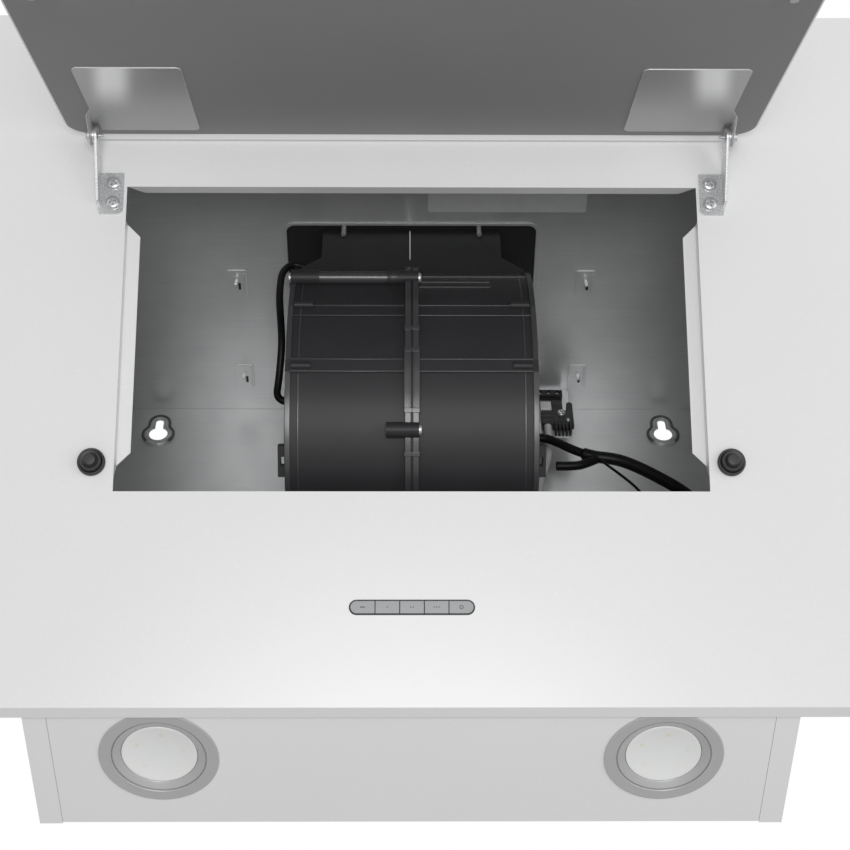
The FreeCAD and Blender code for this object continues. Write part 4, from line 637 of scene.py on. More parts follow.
easing = {
    "front_panel": 0.45, "side_panel_left": 0.4, "side_panel_right": 0.4, "lamp_plate": 0.3,
    "back_panel": 0.45, "top_plate": 0.3, "flap_panel": 0.4, "flap_lining": 0.25,
    "hinge_plate_left": 0.3, "hinge_plate_right": 0.3, "hinge_bracket_left": 0.4, "hinge_bracket_right": 0.4,
    "scroll_left": 0.5, "scroll_right": 0.5, "outlet_collar": 0.5, "inlet_grille": 0.4, "motor_bracket": 0.4,
    "terminal_bracket": 0.3, "switch_bezel": 0.15, "switch_box": 0.4,
    "damper_front": 0.25, "damper_rear": 0.25, "damper_pin": 0.2,
    "lamp_housing_left": 0.3, "lamp_housing_right": 0.3, "catch_studs": 0.25,
}

# moulded ribs on each half, by across from and to, radius low and high, and degrees from and to:
# end rims, seam lip and its bridges, lips of the wide band, and two faint lines on the right half alone
scrollLook = {
    "rims": [((77.0, 80.4), (107, 109.4), (-88, 53)), ((71.5, 72.5), (107, 108.5), (-88, 53))],
    "seam": [((0.7, 4.4), (111.5, 112.8), (-88, 53))],
    "bridges": [((0.0, 4.9), (111.5, 113.6), (a - 0.8, a + 0.8)) for a in (-12.5, -21.0, -41.5, -55.5)]
               + [((1.6, 4.9), (111.5, 113.2), (-41.5, -21))],
    "lips": [((4.4, 77), (107, 110.2), (a - 0.3, a + 0.3)) for a in (-23.6, -28.0)]
            + [((4.4, 77), (107, 108.9), (a - 0.25, a + 0.25)) for a in (0.6, -4.7, 24.5)],
    "lines": [((5, 52), (107, 108.7), (a - 0.25, a + 0.25)) for a in (17.8, 13.2)],
    "steps": {"rims": 48, "seam": 48, "bridges": 4, "lips": 4, "lines": 4},
    "ease": 0.25,
}


def drumArc(across, radius, angles, steps):
    section = [(across[0], radius[0]), (across[1], radius[0]), (across[1], radius[1]), (across[0], radius[1])]
    rows = []
    for step in range(steps + 1):
        angle = angles[0] + (angles[1] - angles[0]) * step / steps
        rows.append([onDrum(x, angle, fromAxis) for x, fromAxis in section])
    return bevelled(skinned("drumArc", rows, unit=1), scrollLook["ease"])


# the ribs and collars take the glossier plastic, whose lighter colour is partly a painted highlight
rightRibs = [inMaterial(drumArc(*rib, steps), 1)
             for kind, steps in scrollLook["steps"].items() for rib in scrollLook[kind]]
leftRibs = [mirroredX(rib) for rib in rightRibs[:-len(scrollLook["lines"])]]

# the smooth sleeve of the screw tube over the drum, and collars on it and on the lower boss
tubeLook = {
    "fromAxis": 111.6, "bore": 3.7, "chamfer": 0.4, "steps": 40,
    # across from and to, angle, radius
    "collars": [
        (-79.8, 3.9, 17.5, 4.25), (-79.8, -70.5, 17.5, 4.9), (-14, -9.5, 17.5, 5.0), (-9.5, -1.2, 17.5, 4.5),
        (-14.5, 3.9, -47.8, 4.25), (-8.5, -2.5, -47.8, 4.9),
    ],
}


def tubeCollar(start, end, angle, radius):
    bore, chamfer, length = tubeLook["bore"], tubeLook["chamfer"], end - start
    profile = [(bore, 0), (radius - chamfer, 0), (radius, chamfer), (radius, length - chamfer),
               (radius - chamfer, length), (bore, length)]
    collar = inMaterial(turned("collar", profile, tubeLook["steps"], closed=True), 1)
    return placed(collar, onDrum(start, angle, tubeLook["fromAxis"]), acrossX)


leftRibs += [tubeCollar(*collar) for collar in tubeLook["collars"]]

# the edge of the spring clip that holds the halves together at the throat's seam, in the light sheared-edge
# colour, partly a painted highlight
seamLook = {"place": (-1.1, -178, 10.3), "size": (0.8, 34.5, 0.3), "proud": 1.1}
seamClip = inMaterial(plate("seamClip", seamLook["size"], 0, seamLook["proud"]), 2)
placed(seamClip, Vector(seamLook["place"]) * mm, forward)


# the pressed bead round each keyhole: a ridge round its neck and sides painted dark as a shadow, and one at
# its foot in the sheet's own colour
keyholeLook = {
    "across": 200.2, "depth": -2.1, "rise": 13.35, "roundSteps": 4, "alongSteps": 8,
    "outer": (12.0, 8.0, 1.15),      # radius round the hole and round its neck, thickness
    "inner": (9.3, 5.3, 0.8),
    "neckStart": 45, "neckEnd": 110, "footEnd": 40,      # degrees from straight down
    "waist": (0.5, 0.56), "shoulder": 0.78,      # out from the neck's line, and shares of the rise
}


# around the keyhole's neck from one side of its foot to the other
def neckPath(big, small):
    rise, (out, share) = keyholeLook["rise"], keyholeLook["waist"]
    angles = range(keyholeLook["neckStart"], keyholeLook["neckEnd"] + 1, 13)
    side = [polar(big, angle - 90) for angle in angles]
    side += [(small + out, rise * share), (small, rise * keyholeLook["shoulder"])]
    arch = [(x, rise + z) for x, z in (polar(small, angle) for angle in range(0, 181, 30))]
    return side + arch + [(-x, z) for x, z in reversed(side)]


def footPath(big):
    end = keyholeLook["footEnd"]
    return [polar(big, angle - 90) for angle in range(-end, end + 1, 10)]


beads = []
look = keyholeLook
(big, small, thick), (innerBig, innerSmall, innerThick) = look["outer"], look["inner"]
for sign in (-1, 1):
    # number 1 gives the neck's bead the dark painted shadow; 0 keeps the sheet's own colour
    for path, radius, number in ((neckPath(big, small), thick, 1), (footPath(big), thick, 0),
                                 (neckPath(innerBig, innerSmall), innerThick, 0)):
        route = [(sign * look["across"] + x, look["depth"], z) for x, z in path]
        bead = sheath("bead", route, radius, look["roundSteps"], look["alongSteps"])
        bead.shade_smooth()
        beads.append(inMaterial(bead, number))

# the outer corner of a hinge plate as the shears leave it: the edge set in beside the ear, the corner round
shearLook = {
    "end": (0, -0.3930, -0.1082), "along": (0, 0.809, 0.587), "edge": 202.2, "corner": 5, "length": 63,
    "slant": (4.3, 11), "before": 6, "beyond": 10, "depth": 6, "cutReach": 0.1, "cutFacing": 0.8,
}


def sheared(node, width):
    edge, corner, length = shearLook["edge"], shearLook["corner"], shearLook["length"]
    before, far, (slantOut, slantUp) = shearLook["before"], edge + shearLook["beyond"], shearLook["slant"]
    outline = [(far, -before), (edge - corner, -before)]
    outline += [(edge - corner + x, corner + y) for x, y in (polar(corner, a - 90) for a in range(0, 91, 10))]
    outline += [(edge, length), (edge + slantOut, length + slantUp), (far, length + slantUp)]
    end, along = Vector(shearLook["end"]), Vector(shearLook["along"])
    across = acrossX.cross(along)
    tool = raised("shears", outline, -shearLook["depth"], shearLook["depth"])
    tool.transform(Matrix.Translation(end) @ Matrix((acrossX, along, across)).transposed().to_4x4())
    mesh = bevelled(cutBy(plainShape(node), tool if node.endswith("right") else mirroredX(tool)), width)
    # the cut edges take the light sheared-edge colour, partly a painted highlight
    for face in mesh.polygons:
        facing = abs(face.normal.dot(across))
        if facing < shearLook["cutFacing"] and (face.center - end).dot(along) < shearLook["cutReach"]:
            face.material_index = 1
    return mesh


# the turned-down edge of the blower's hole in the ceiling
rimLook = {
    "middle": (0, -98.9, 0), "hole": (184, 165.8, 6), "plate": (189.2, 171.0, 8.6), "proud": 1.2, "ease": 0.4,
}


def holeRim():
    outer = plate("rim", rimLook["plate"], -rimLook["proud"], 0)
    rim = cutBy(outer, plate("rimHole", rimLook["hole"], -rimLook["proud"] - 1, 1))
    return placed(bevelled(rim, rimLook["ease"]), atCeiling(*rimLook["middle"]))


# what some of these pieces carry besides, and the further materials that it takes
added = {
    "back_panel": (beads, paintedShadowZinc),
    "scroll_left": (leftRibs + [seamClip], glossAndHighlightPolypropylene, shearedEdgeAndHighlight),
    "scroll_right": (rightRibs, glossAndHighlightPolypropylene, shearedEdgeAndHighlight),
    "top_plate": ([holeRim()],),
}
for name, width in easing.items():
    if name.startswith("hinge_plate"):
        asPiece(name, sheared(name, width), shearedEdgeAndHighlight)
    else:
        more, *others = added.get(name, ([],))
        asPiece(name, joined(name, [eased(name, width)] + more) if more else eased(name, width), *others)
print("eased pieces:", len(easing))


# push buttons with soft edges, and on each a plain mark: a bar, one to three dots, a ring

buttonLook = {
    "rise": 60.3,
    "proud": 1.2,
    "markDepth": 0.05,
    "ease": (0.35, 3),
    "bar": (3.2, 0.7, 0.34, 4),
    "ring": (0.75, 1.25, 32),      # inner and outer radius, steps
    "dots": (0.42, 1.5, 20),       # radius, pitch, steps
    "marks": {
        "button_off": (-30.0, "bar"), "button_low": (-14.95, 1), "button_medium": (0, 2),
        "button_high": (14.95, 3), "button_lamp": (30.0, "ring"),
    },
}


def markMeshes(kind):
    high = buttonLook["markDepth"]
    if kind == "bar":
        return [plate("bar", buttonLook["bar"], 0, high)]
    if kind == "ring":
        inner, outer, steps = buttonLook["ring"]
        return [disc("ring", outer, 0, high, steps, inner)]
    radius, pitch, steps = buttonLook["dots"]
    return [placed(disc("dot", radius, 0, high, steps), ((number - (kind - 1) / 2) * pitch * mm, 0, 0))
            for number in range(kind)]


for name, (across, kind) in buttonLook["marks"].items():
    place = onPanel(across, buttonLook["rise"], buttonLook["proud"])
    marks = [inMaterial(placed(mark, place, panelOut), 1) for mark in markMeshes(kind)]
    asPiece(name, joined(name, [eased(name, *buttonLook["ease"])] + marks), markInk)
print("buttons drawn")


# lamp rings: spun sheet with a rolled rim, a flat face, a step and a funnel down to the cover

lampLook = {
    "across": 155,
    "rear": 59.4,
    "steps": 128,
    "ring": [
        (31.3, 0), (36.2, 0), (36.75, -0.1), (36.95, -0.35), (36.9, -0.75), (36.6, -1.05), (36.2, -1.15),
        (35.7, -1.1), (30.2, -0.95), (29.6, -0.9), (29.35, -0.6), (29.25, 0.7), (28.95, 0.9), (28.6, 0.7),
        (28.45, -0.25), (28.1, -0.3), (24.1, 1.5), (23.75, 1.75), (23.6, 2.1), (23.6, 5.3), (29.7, 5.4),
        (29.7, 12), (31.3, 12), (31.5, 11.8),
    ],
    "cover": [
        (0, 4.2), (4, 4.12), (8, 3.88), (12, 3.48), (15, 3.08), (18, 2.58), (20.5, 2.1), (22.2, 1.75),
        (23, 1.7), (23.3, 2.0), (23.3, 5.2), (0, 5.2),
    ],
    "coverStep": 0.6,
    "faceHeight": 5.1,      # what lies under it is the cover's face, and what lies over it its back
    "chips": 5,
    "chipCircle": 15,
    "chipSpot": 1.2,
    "chipTurn": 0.86,
    "chipWarmth": (0.35, 0.3, 2),      # the mean, how far it swings round the circle, and where it begins
}


# the warmth at a place of the cover: where the eye meets a chip through the milky sheet
def coverWarmth(x, y):
    warmth = 0
    mean, swing, start = lampLook["chipWarmth"]
    for number in range(lampLook["chips"]):
        turn = 2 * math.pi * (number + lampLook["chipTurn"]) / lampLook["chips"]
        chipX, chipY = lampLook["chipCircle"] * math.cos(turn), lampLook["chipCircle"] * math.sin(turn)
        away = math.hypot(x - chipX, y - chipY)
        warmth += (mean + swing * math.cos(turn + start)) * math.exp(-(away / lampLook["chipSpot"]) ** 2)
    return min(1, warmth)


# a finer mesh of rings between the profile's points, so that the spots keep their shape
def denser(profile, step):
    points = [profile[0]]
    for (radius, height), (nextRadius, nextHeight) in zip(profile, profile[1:]):
        count = max(1, int(abs(nextRadius - radius) / step))
        points += [(radius + (nextRadius - radius) * i / count, height + (nextHeight - height) * i / count)
                   for i in range(1, count + 1)]
    return points


for side, sign in (("left", -1), ("right", 1)):
    place = onLampPlate(sign * lampLook["across"], -lampLook["rear"], 0)
    ring = turned("lampRing", lampLook["ring"], lampLook["steps"], closed=True)
    asPiece("lamp_ring_" + side, placed(ring, place, lampUp))
    *face, top = lampLook["cover"]
    cover = turned("lampCover", denser(face, lampLook["coverStep"]) + [top], lampLook["steps"])
    layer = cover.color_attributes.new("warmth", "FLOAT_COLOR", "POINT")
    for vertex in cover.vertices:
        x, y, z = (value / mm for value in vertex.co)
        value = coverWarmth(x, y) if z < lampLook["faceHeight"] else 0
        layer.data[vertex.index].color = (value, value, value, 1)
    asPiece("lamp_lens_" + side, placed(cover, place, lampUp))
print("lamps drawn")


# rubber catches and the grommet: turned shapes with rounded steps

catchLook = {
    "across": 198.5,
    "rise": 150.7,
    "steps": 96,
    "profile": [
        (0, -4), (2.6, -4), (3, -3.6), (3, 0), (8.3, 0), (8.6, 0.2), (8.65, 0.6), (8.65, 2.9), (8.5, 3.5),
        (8.1, 3.9), (7.6, 4), (7.2, 3.85), (6.95, 3.4), (6.8, 3.1), (6.7, 3.3), (6.7, 6), (6.55, 6.6),
        (6.1, 7), (5.6, 7.05), (4.9, 6.9), (4.5, 6.75), (4.3, 6.9), (4.2, 7.3), (4.15, 9.1), (3.95, 9.6),
        (3.5, 9.95), (2.9, 10.05), (0, 10.05),
    ],
}
for side, sign in (("left", -1), ("right", 1)):
    catch = turned("catch", catchLook["profile"], catchLook["steps"])
    placed(catch, onPanel(sign * catchLook["across"], catchLook["rise"], 0), panelOut)
    asPiece("catch_" + side, catch)

grommetLook = {
    "place": (0.079, -0.040, 0.032),      # metres
    "profile": [
        (4, -1.2), (4.3, -1.5), (9.4, -1.5), (9.9, -1.2), (10, -0.7), (9.8, -0.1), (9.5, 0), (7.5, 0),
        (7.5, 2.5), (9.5, 2.5), (9.85, 2.7), (9.8, 3.2), (9.2, 3.7), (8, 4), (4.6, 4), (4.1, 3.8), (4, 3.4),
    ],
}
asPiece("cable_grommet", placed(turned("grommet", grommetLook["profile"], closed=True), grommetLook["place"]))
print("rubber pieces drawn")


# screws: pressed pan heads with a cross recess, and rolled threads

headLook = {
    # shares of the head's radius and height
    "shape": [(0.0, 0.0), (0.94, 0.0), (1.0, 0.1), (1.0, 0.38), (0.97, 0.6), (0.88, 0.8), (0.72, 0.93),
              (0.5, 1.0), (0.0, 1.0)],
    "recess": 0.62, "recessDepth": 0.75, "steps": 48,
    "waist": 0.13, "mouth": 1.05, "bottom": 0.5, "above": 0.4,
}


# the cross that a driver takes, tapering into the head
def crossTool(size, depth, top):
    arm, waist = size / 2, size * headLook["waist"]
    quarter = [(arm, waist), (waist, waist), (waist, arm)]
    outline = quarter + [(-x, y) for x, y in reversed(quarter)]
    outline += [(-x, -y) for x, y in outline]
    levels = ((top + headLook["above"], headLook["mouth"]), (top - depth, headLook["bottom"]))
    return skinned("cross", [[(x * share, y * share, z) for x, y in outline] for z, share in levels])


def screwHead(radius, height, recess=headLook["recess"]):
    head = turned("head", [(out * radius, up * height) for out, up in headLook["shape"]], headLook["steps"])
    return cutBy(head, crossTool(2 * radius * recess, height * headLook["recessDepth"], height))


threadLook = {"deep": 0.16, "tipWidth": 0.25, "sharpAngle": 60}


# a rod from 0 down to -length whose radius follows a screw line; tip is the length of its point
def threaded(radius, length, pitch, tip=0.0, steps=24, perPitch=8):
    rows = []
    count = max(2, int(length / pitch * perPitch))
    for row in range(count + 1):
        z = -length * row / count
        blunt = threadLook["tipWidth"]
        slim = min(1.0, blunt + (1 - blunt) * (length + z) / tip) if tip else 1.0
        ring = []
        for i in range(steps):
            phase = (z / pitch - i / steps) % 1
            depth = threadLook["deep"] * pitch * (1 + math.cos(2 * math.pi * phase))
            ring.append((*polar((radius - depth) * slim, 360 * i / steps), z))
        rows.append(ring)
    return skinned("thread", rows, threadLook["sharpAngle"])


# a whole screw by its measures, with what else its thread needs
def screwOf(look, *finer):
    return joined("screw", [screwHead(look["radius"], look["height"]),
                            threaded(look["shank"], look["length"], look["pitch"], *finer)])


screwLook = {
    "bracket": {"radius": 4.5, "height": 2.2, "shank": 1.8, "length": 8, "pitch": 1.0, "seat": 1.5,
                "across": 193.25, "rises": (323.3, 337.0), "turns": (0.35, 1.1, 0.2, 0.75)},
    "hinge": {"radius": 3.2, "height": 2, "shank": 2, "pitch": 1.4, "length": 10.2, "start": 207.7,
              "finer": (4, 32, 12)},
    "scroll": {"radius": 3.4, "height": 2.2, "shank": 1.5, "length": 10, "pitch": 1.2, "fromAxis": 111.6,
               "turn": 0.4, "places": ((4.3, 17.5, 1), (4.3, -47.8, 1), (-80.5, 17.5, -1))},
    "clamp": {"radius": 3.4, "height": 2.2, "place": (116.9, -31, -8.0), "turn": 0.5},
}
washerLook = {"bore": 2.05, "radius": 5, "ease": 0.25, "steps": 48,
              "places": ((203.35, 1.8), (206.45, 1.2))}      # where each starts across, and its thickness
rivetLook = {"place": (121.7, -31, -16.0), "radius": 1.8, "steps": 40,
             "dome": [(0, 0), (1.0, 0), (1.0, 0.25), (0.85, 0.6), (0.6, 0.85), (0.3, 0.97), (0, 1.0)]}

look = screwLook["bracket"]
places = [(sign, rise) for sign in (-1, 1) for rise in look["rises"]]
asPiece("bracket_screws", joined("bracketScrews", [
    placed(screwOf(look), onPanel(sign * look["across"], rise, look["seat"]), panelOut, turn)
    for (sign, rise), turn in zip(places, look["turns"])]))

look = screwLook["hinge"]
axis = onPanel(0, layout["hingeRise"], layout["hingeStandoff"])
screw = placed(screwOf(look, *look["finer"]), axis + acrossX * look["start"] * mm, acrossX)
asPiece("hinge_pins", joined("hingeScrews", [screw, mirroredX(screw)]))

look = washerLook
bore, radius, ease = look["bore"], look["radius"], look["ease"]
parts = []
for start, thick in look["places"]:
    profile = [(bore, ease), (bore + ease, 0), (radius - ease, 0), (radius, ease), (radius, thick - ease),
               (radius - ease, thick), (bore + ease, thick), (bore, thick - ease)]
    washer = turned("washer", profile, look["steps"], closed=True)
    parts.append(placed(washer, axis + acrossX * start * mm, acrossX))
    parts.append(mirroredX(washer))
asPiece("hinge_washers", joined("hingeWashers", parts))

look = screwLook["scroll"]
asPiece("scroll_screws", joined("scrollScrews", [
    placed(screwOf(look), onDrum(across, angle, look["fromAxis"]), (sign, 0, 0), look["turn"])
    for across, angle, sign in look["places"]]))

look = screwLook["clamp"]
dome = [(out * rivetLook["radius"], up * rivetLook["radius"]) for out, up in rivetLook["dome"]]
asPiece("clamp_screws", joined("clampScrews", [
    placed(screwHead(look["radius"], look["height"]), Vector(look["place"]) * mm, forward, look["turn"]),
    placed(turned("rivet", dome, rivetLook["steps"]), Vector(rivetLook["place"]) * mm, forward)]))
print("screws drawn")


# leads: smooth sheaths along the CAD's own routes, with heights from the housing's foot

def lampEnd(across, out=0):
    return (across, -56.84 + 0.1288 * out, 23.52 + 0.9917 * out)


def switchEnd(across, out=0):
    return (across, -119.34 + 0.8425 * out, 71.33 + 0.5388 * out)


# each lead's sheaths, by radius and route
leadRoutes = {
    "supply_cable": [(3.0, [
        (106.1, -27, 360.7), (106.1, -27, 333), (105, -35, 316), (99.9, -48, 279.7), (92.3, -60, 249.2),
        (90, -67, 222), (91, -73, 192), (94, -77, 160), (103, -79, 126), (122, -74, 92),
        lampEnd(142, 40), lampEnd(148, 20), lampEnd(148)])],
    "control_cable": [
        (4.5, [
            (126, -60, 279.3), (134.5, -60, 275.6), (143, -60, 274.6), (154, -60, 271.6), (166.3, -60, 263.9),
            (179.7, -60, 253.4), (194.8, -60, 239.9), (207, -63, 218), (208, -70, 188), (202, -80, 156),
            (186, -90, 128), (158, -98, 110), (122, -102, 101), (88, -101, 96), (58, -99, 91),
            switchEnd(34, 27), switchEnd(34)]),
        (3.3, [
            (80.5, -60, 297.2), (97, -60, 297.2), (107.4, -60, 291.7), (118.9, -60, 283.1),
            (128.5, -60, 277.9)]),
        (3.4, [(105.3, -60, 265.9), (119.1, -60, 265.4), (128.9, -60, 269.1), (136.5, -60, 273.9)])],
    "lamp_wire": [(1.0, [
        (137, -62.5, 270.5), (143, -64.6, 261), (150, -65, 252.3), (162.2, -65, 236.8), (173, -65, 210),
        (178, -64, 175), (178, -62, 137), (174, -59, 101), (167, -56, 71), lampEnd(162, 22), lampEnd(162)])],
    "motor_lead": [(2.6, [
        (-65.15, -163, 367), (-76, -163, 367), (-87, -164.5, 371), (-94, -165, 360), (-94.5, -165, 342),
        (-94, -165, 326), (-92, -165, 306), (-90, -160, 285), (-92, -142, 268), (-95, -126, 261),
        (-83.5, -126, 261)])],
}
leadLook = {"steps": (7, 10), "sharpAngle": 50, "skin": 0.55, "soften": (0.5, 4)}


# the moulded joint of several leads: their sheaths melted into one skin
def melted(mesh):
    loose = loosePiece("loose", mesh)
    skin = loose.modifiers.new("skin", "REMESH")
    skin.mode = "VOXEL"
    skin.voxel_size = leadLook["skin"] * mm
    smooth = loose.modifiers.new("smooth", "SMOOTH")
    smooth.factor, smooth.iterations = leadLook["soften"]
    mesh = applied(loose)
    mesh.shade_smooth()
    return mesh


for name, routes in leadRoutes.items():
    sheaths = []
    for radius, points in routes:
        path = [(x, y, z - layout["hang"] / mm) for x, y, z in points]
        sheaths.append(sheath("lead", path, radius, *leadLook["steps"], capped=True))
    whole = joined(name, sheaths)
    if len(routes) > 1:
        whole = melted(whole)
    else:
        shadeByAngle(whole, leadLook["sharpAngle"])
    asPiece(name, whole)
print("leads drawn")


# terminal group right of the blower; heights are from the ceiling's underside

# a shape drawn by its outline in depth and height, drawn out across from one place to another
def alongX(name, outline, start, end):
    mesh = raised(name, outline, 0, end - start)
    # the outline's x turns to depth, its y to height, and the rise to across
    turn = Matrix(((0, 0, 1), (1, 0, 0), (0, 1, 0))).to_4x4()
    mesh.transform(Matrix.Translation(atCeiling(start, 0, 0)) @ turn)
    return mesh


# a front face from low to high, broken by raised ribs, as an outline with its flat back
def ribbedOutline(look):
    front, proud, width = look["front"], look["proud"], look["ribWidth"]
    points = [(look["back"], look["low"]), (front, look["low"])]
    for height in look["ribs"]:
        points += [(front, height - width), (front - proud, height - width * 0.5),
                   (front - proud, height + width * 0.5), (front, height + width)]
    return points + [(front, look["high"]), (look["back"], look["high"])]


# an upright bar with its top rounded over, drawn out along depth
def roundTopBar(name, left, right, low, high, front, back):
    radius, middle = (right - left) / 2, (left + right) / 2
    arch = [(middle + x, high - radius + y) for x, y in (polar(radius, angle) for angle in range(0, 181, 15))]
    mesh = raised(name, [(left, low), (right, low)] + arch, 0, back - front)
    # the outline's y turns to height, and the rise to depth
    turn = Matrix(((1, 0, 0), (0, 0, 1), (0, 1, 0))).to_4x4()
    mesh.transform(Matrix.Translation(atCeiling(0, front, 0)) @ turn)
    mesh.flip_normals()
    return mesh


clampLook = {
    "block": {"left": 101.6, "right": 125, "front": -31, "back": -23, "low": -50, "high": -35,
              "ribs": (-45.5, -40.5), "proud": 0.7, "ribWidth": 1.3},
    "guide": {"left": 110.3, "right": 118.5, "front": -30, "back": -23, "low": -35, "high": -22,
              "ribs": (-31, -27.5), "proud": 0.5, "ribWidth": 1.0},
    "hook": {"left": 122, "right": 126.7, "front": -28, "back": -23, "low": -49, "high": -22},
    # the flat seat right of the block, by its outline in depth and height
    "seat": {"outline": [(-23, -50), (-30.2, -50), (-31, -48.8), (-31, -35), (-23, -35)], "left": 110.1},
    "fins": {"low": -56.5, "high": -46, "front": -31.6, "back": -23},
    "finLefts": (111.4, 114.2, 117.0, 119.8, 122.6), "finWidth": 1.6, "ease": 0.3,
}
block, guide, seat = (clampLook[name] for name in ("block", "guide", "seat"))
parts = [
    alongX("clampBlock", ribbedOutline(block), block["left"], guide["left"]),
    alongX("clampSeat", seat["outline"], seat["left"], block["right"]),
    alongX("clampGuide", ribbedOutline(guide), guide["left"], guide["right"]),
    roundTopBar("clampHook", **clampLook["hook"]),
]
parts += [roundTopBar("clampFin", left, left + clampLook["finWidth"], **clampLook["fins"])
          for left in clampLook["finLefts"]]
asPiece("cable_clamp", joined("cableClamp", [bevelled(part, clampLook["ease"]) for part in parts]))

# the plug with its latch, and the slot beside it, by depth and height, then from and to across
plugLook = {
    "outline": [(-23, -34.3), (-29, -34.3), (-29, -31.1), (-29.6, -30.5), (-29.6, -23.3), (-29, -22.7),
                (-28.2, -21.9), (-23, -21.9)], "across": (101.5, 110),
    "slot": [(-27.6, -29.8), (-32, -29.8), (-32, -24.3), (-27.6, -24.3)], "slotAcross": (107.6, 108.5),
    "ease": 0.3,
}
plug = bevelled(alongX("plug", plugLook["outline"], *plugLook["across"]), plugLook["ease"])
asPiece("cable_connector", cutBy(plug, alongX("plugSlot", plugLook["slot"], *plugLook["slotAcross"])))

boxLook = {
    "outline": [(-23, -15), (-29, -15), (-29, -9), (-27.8, -6.8), (-23, -6.8)], "across": (98, 119.7),
    "ease": 0.4, "ways": (102, 108.8, 115.6),
    # radius, two heights and steps, then depth and height of its place
    "well": (1.9, 3, -2.4, 32), "wellPlace": (-29, -11.5), "eye": (1.3, 3, -3, 32), "eyePlace": (-26, -15),
    "screw": (1.5, 1.0, 0.7), "screwPlace": (-26.8, -11.5),
}
block = bevelled(alongX("terminalBlock", boxLook["outline"], *boxLook["across"]), boxLook["ease"])
screws = []
for way in boxLook["ways"]:
    well = placed(disc("well", *boxLook["well"]), atCeiling(way, *boxLook["wellPlace"]), forward)
    eye = placed(disc("eye", *boxLook["eye"]), atCeiling(way, *boxLook["eyePlace"]), (0, 0, -1))
    block = cutBy(cutBy(block, well), eye)
    screw = placed(screwHead(*boxLook["screw"]), atCeiling(way, *boxLook["screwPlace"]), forward)
    screws.append(inMaterial(screw, 1))
asPiece("terminal_box", joined("terminalBox", [block] + screws), materials["satin_zinc"])
print("terminal group drawn")


# ceiling hooks: a punched plate with a tongue bent down and curled forward

hookLook = {
    "across": 131.5, "depths": (-36.2, -128.5), "plate": (14.7, 24, 1.6), "sheet": 0.8, "plateEase": 0.2,
    "tongue": 1.9, "tongueEase": 0.15,
    # depth behind the hook's place and height under the ceiling, along the tongue's middle
    "path": [(-1.0, -0.75), (-2.6, -0.85), (-4.0, -1.2), (-4.8, -2.1), (-5.0, -3.6), (-4.9, -6), (-4.7, -8.5),
             (-4.9, -10), (-5.6, -11), (-6.6, -11.3), (-7.5, -10.8), (-7.9, -9.8), (-7.9, -8.8)],
    "window": (1.9, 6.5, 0.6), "windowPlace": (1.7, 3.0, 0), "inset": 0.1, "cutFacing": 0.6,
    "rib": (1.6, 19, 0.75), "ribPlace": (5.2, 0, 0), "ribProud": 0.7, "ribEase": 0.3,
}


# a hook at its own middle; its faces take zinc, the dark painted shadow in its punched hole, or the
# sheared-edge colour, partly a painted highlight, by number
def ceilingHook():
    look, sheet, inset = hookLook, hookLook["sheet"], hookLook["inset"]
    beside = Vector(look["windowPlace"]) * mm
    window = placed(plate("hookWindow", look["window"], -sheet - 1, 1), beside)
    foot = cutBy(bevelled(plate("hookFoot", look["plate"], -sheet, 0), look["plateEase"]), window)
    # the foot's cut sides take the light sheared-edge colour, partly a painted highlight
    for face in foot.polygons:
        face.material_index = 2 if abs(face.normal.z) < look["cutFacing"] else 0
    # the tongue takes the same light colour, partly a painted highlight
    tongue = bevelled(strip("hookTongue", look["path"], look["tongue"], sheet), look["tongueEase"])
    # a pressed rib stiffens the plate's outer side
    rib = bevelled(plate("hookRib", look["rib"], -sheet - look["ribProud"], -sheet), look["ribEase"])
    # a dark sheet put in the punched hole is painted shadow, where the space over the ceiling lies in shade
    shadowSheet = placed(plate("hookShadowSheet", look["window"], -sheet + inset, -inset), beside)
    return joined("hook", [foot, inMaterial(tongue, 2), placed(rib, Vector(look["ribPlace"]) * mm),
                           inMaterial(shadowSheet, 1)])


hooks = [placed(ceilingHook(), atCeiling(sign * hookLook["across"], depth, 0))
         for depth in hookLook["depths"] for sign in (-1, 1)]
# black plastic is here only the painted shadow in the hooks' punched holes
asPiece("ceiling_hooks", joined("ceilingHooks", hooks), materials["black_plastic"], shearedEdgeAndHighlight)


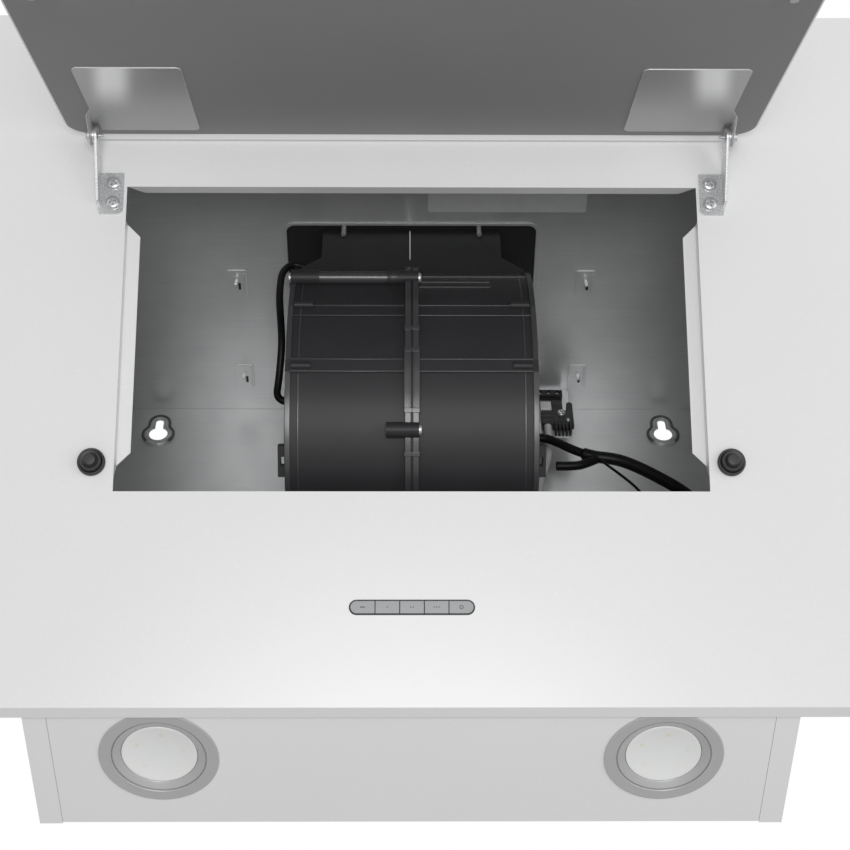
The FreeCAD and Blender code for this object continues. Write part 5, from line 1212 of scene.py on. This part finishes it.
# the bare label: foil with round corners
labelLook = {"middle": (69.85, -213.5, 0), "size": (115.7, 40, 2.2), "sheet": 0.4, "ease": 0.12}
label = placed(plate("label", labelLook["size"], -labelLook["sheet"], 0), atCeiling(*labelLook["middle"]))
asPiece("rating_plate", bevelled(label, labelLook["ease"]))
print("ceiling pieces drawn")


# screws that hold the outlet from above, and their spring clips, which show in the blower's hole

outletLook = {
    "across": (-49.6, 49.6), "radius": 4, "height": 2.4, "shank": 1.8, "length": 14, "pitch": 1.3,
    "place": (-180.2, 34.5), "clipPlace": (-177.2, 0), "clipWidth": 4, "clipSheet": 0.7, "clipEase": 0.12,
    "clipPath": [(2.2, -1.1), (2.2, -5.4), (1.7, -5.95), (0.9, -6.05), (-0.9, -6.05), (-1.7, -5.95),
                 (-2.2, -5.4), (-2.2, -1.1)],
}
parts = []
for across in outletLook["across"]:
    clip = strip("clip", outletLook["clipPath"], outletLook["clipWidth"], outletLook["clipSheet"])
    clip = inMaterial(bevelled(clip, outletLook["clipEase"]), 1)
    parts += [placed(screwOf(outletLook), Vector((across, *outletLook["place"])) * mm),
              placed(clip, atCeiling(across, *outletLook["clipPlace"]))]
asPiece("outlet_screws", joined("outletScrews", parts), materials["sheet_steel"])
print("outlet screws drawn")


# motor inside the blower: a cast shell with cooling fins round its waist

motorLook = {
    "profile": [
        (0, -78), (14, -78), (15, -77.4), (15, -75), (36, -75), (38.5, -73.8), (40, -71), (40.4, -67),
        (40.4, -20), (40, -16), (38.5, -12.5), (35, -10.2), (13, -10), (12, -9.4), (12, -7.2), (11.4, -7),
        (0, -7),
    ],
    "steps": 96,
    "fins": 24,
    "fin": (39.5, 42, 1.8, -64, -24),   # inner and outer radius, thickness, start and end along the axis
    "finEase": 0.4,
}
parts = [turned("motorShell", motorLook["profile"], motorLook["steps"])]
inner, outer, thick, start, end = motorLook["fin"]
outline = [(inner, -thick / 2), (outer, -thick / 2), (outer, thick / 2), (inner, thick / 2)]
for number in range(motorLook["fins"]):
    fin = bevelled(raised("fin", outline, start, end), motorLook["finEase"])
    parts.append(placed(fin, (0, 0, 0), spin=2 * math.pi * number / motorLook["fins"]))
asPiece("motor", placed(joined("motor", parts), Vector(layout["fanAxis"]), acrossX))
print("motor drawn")
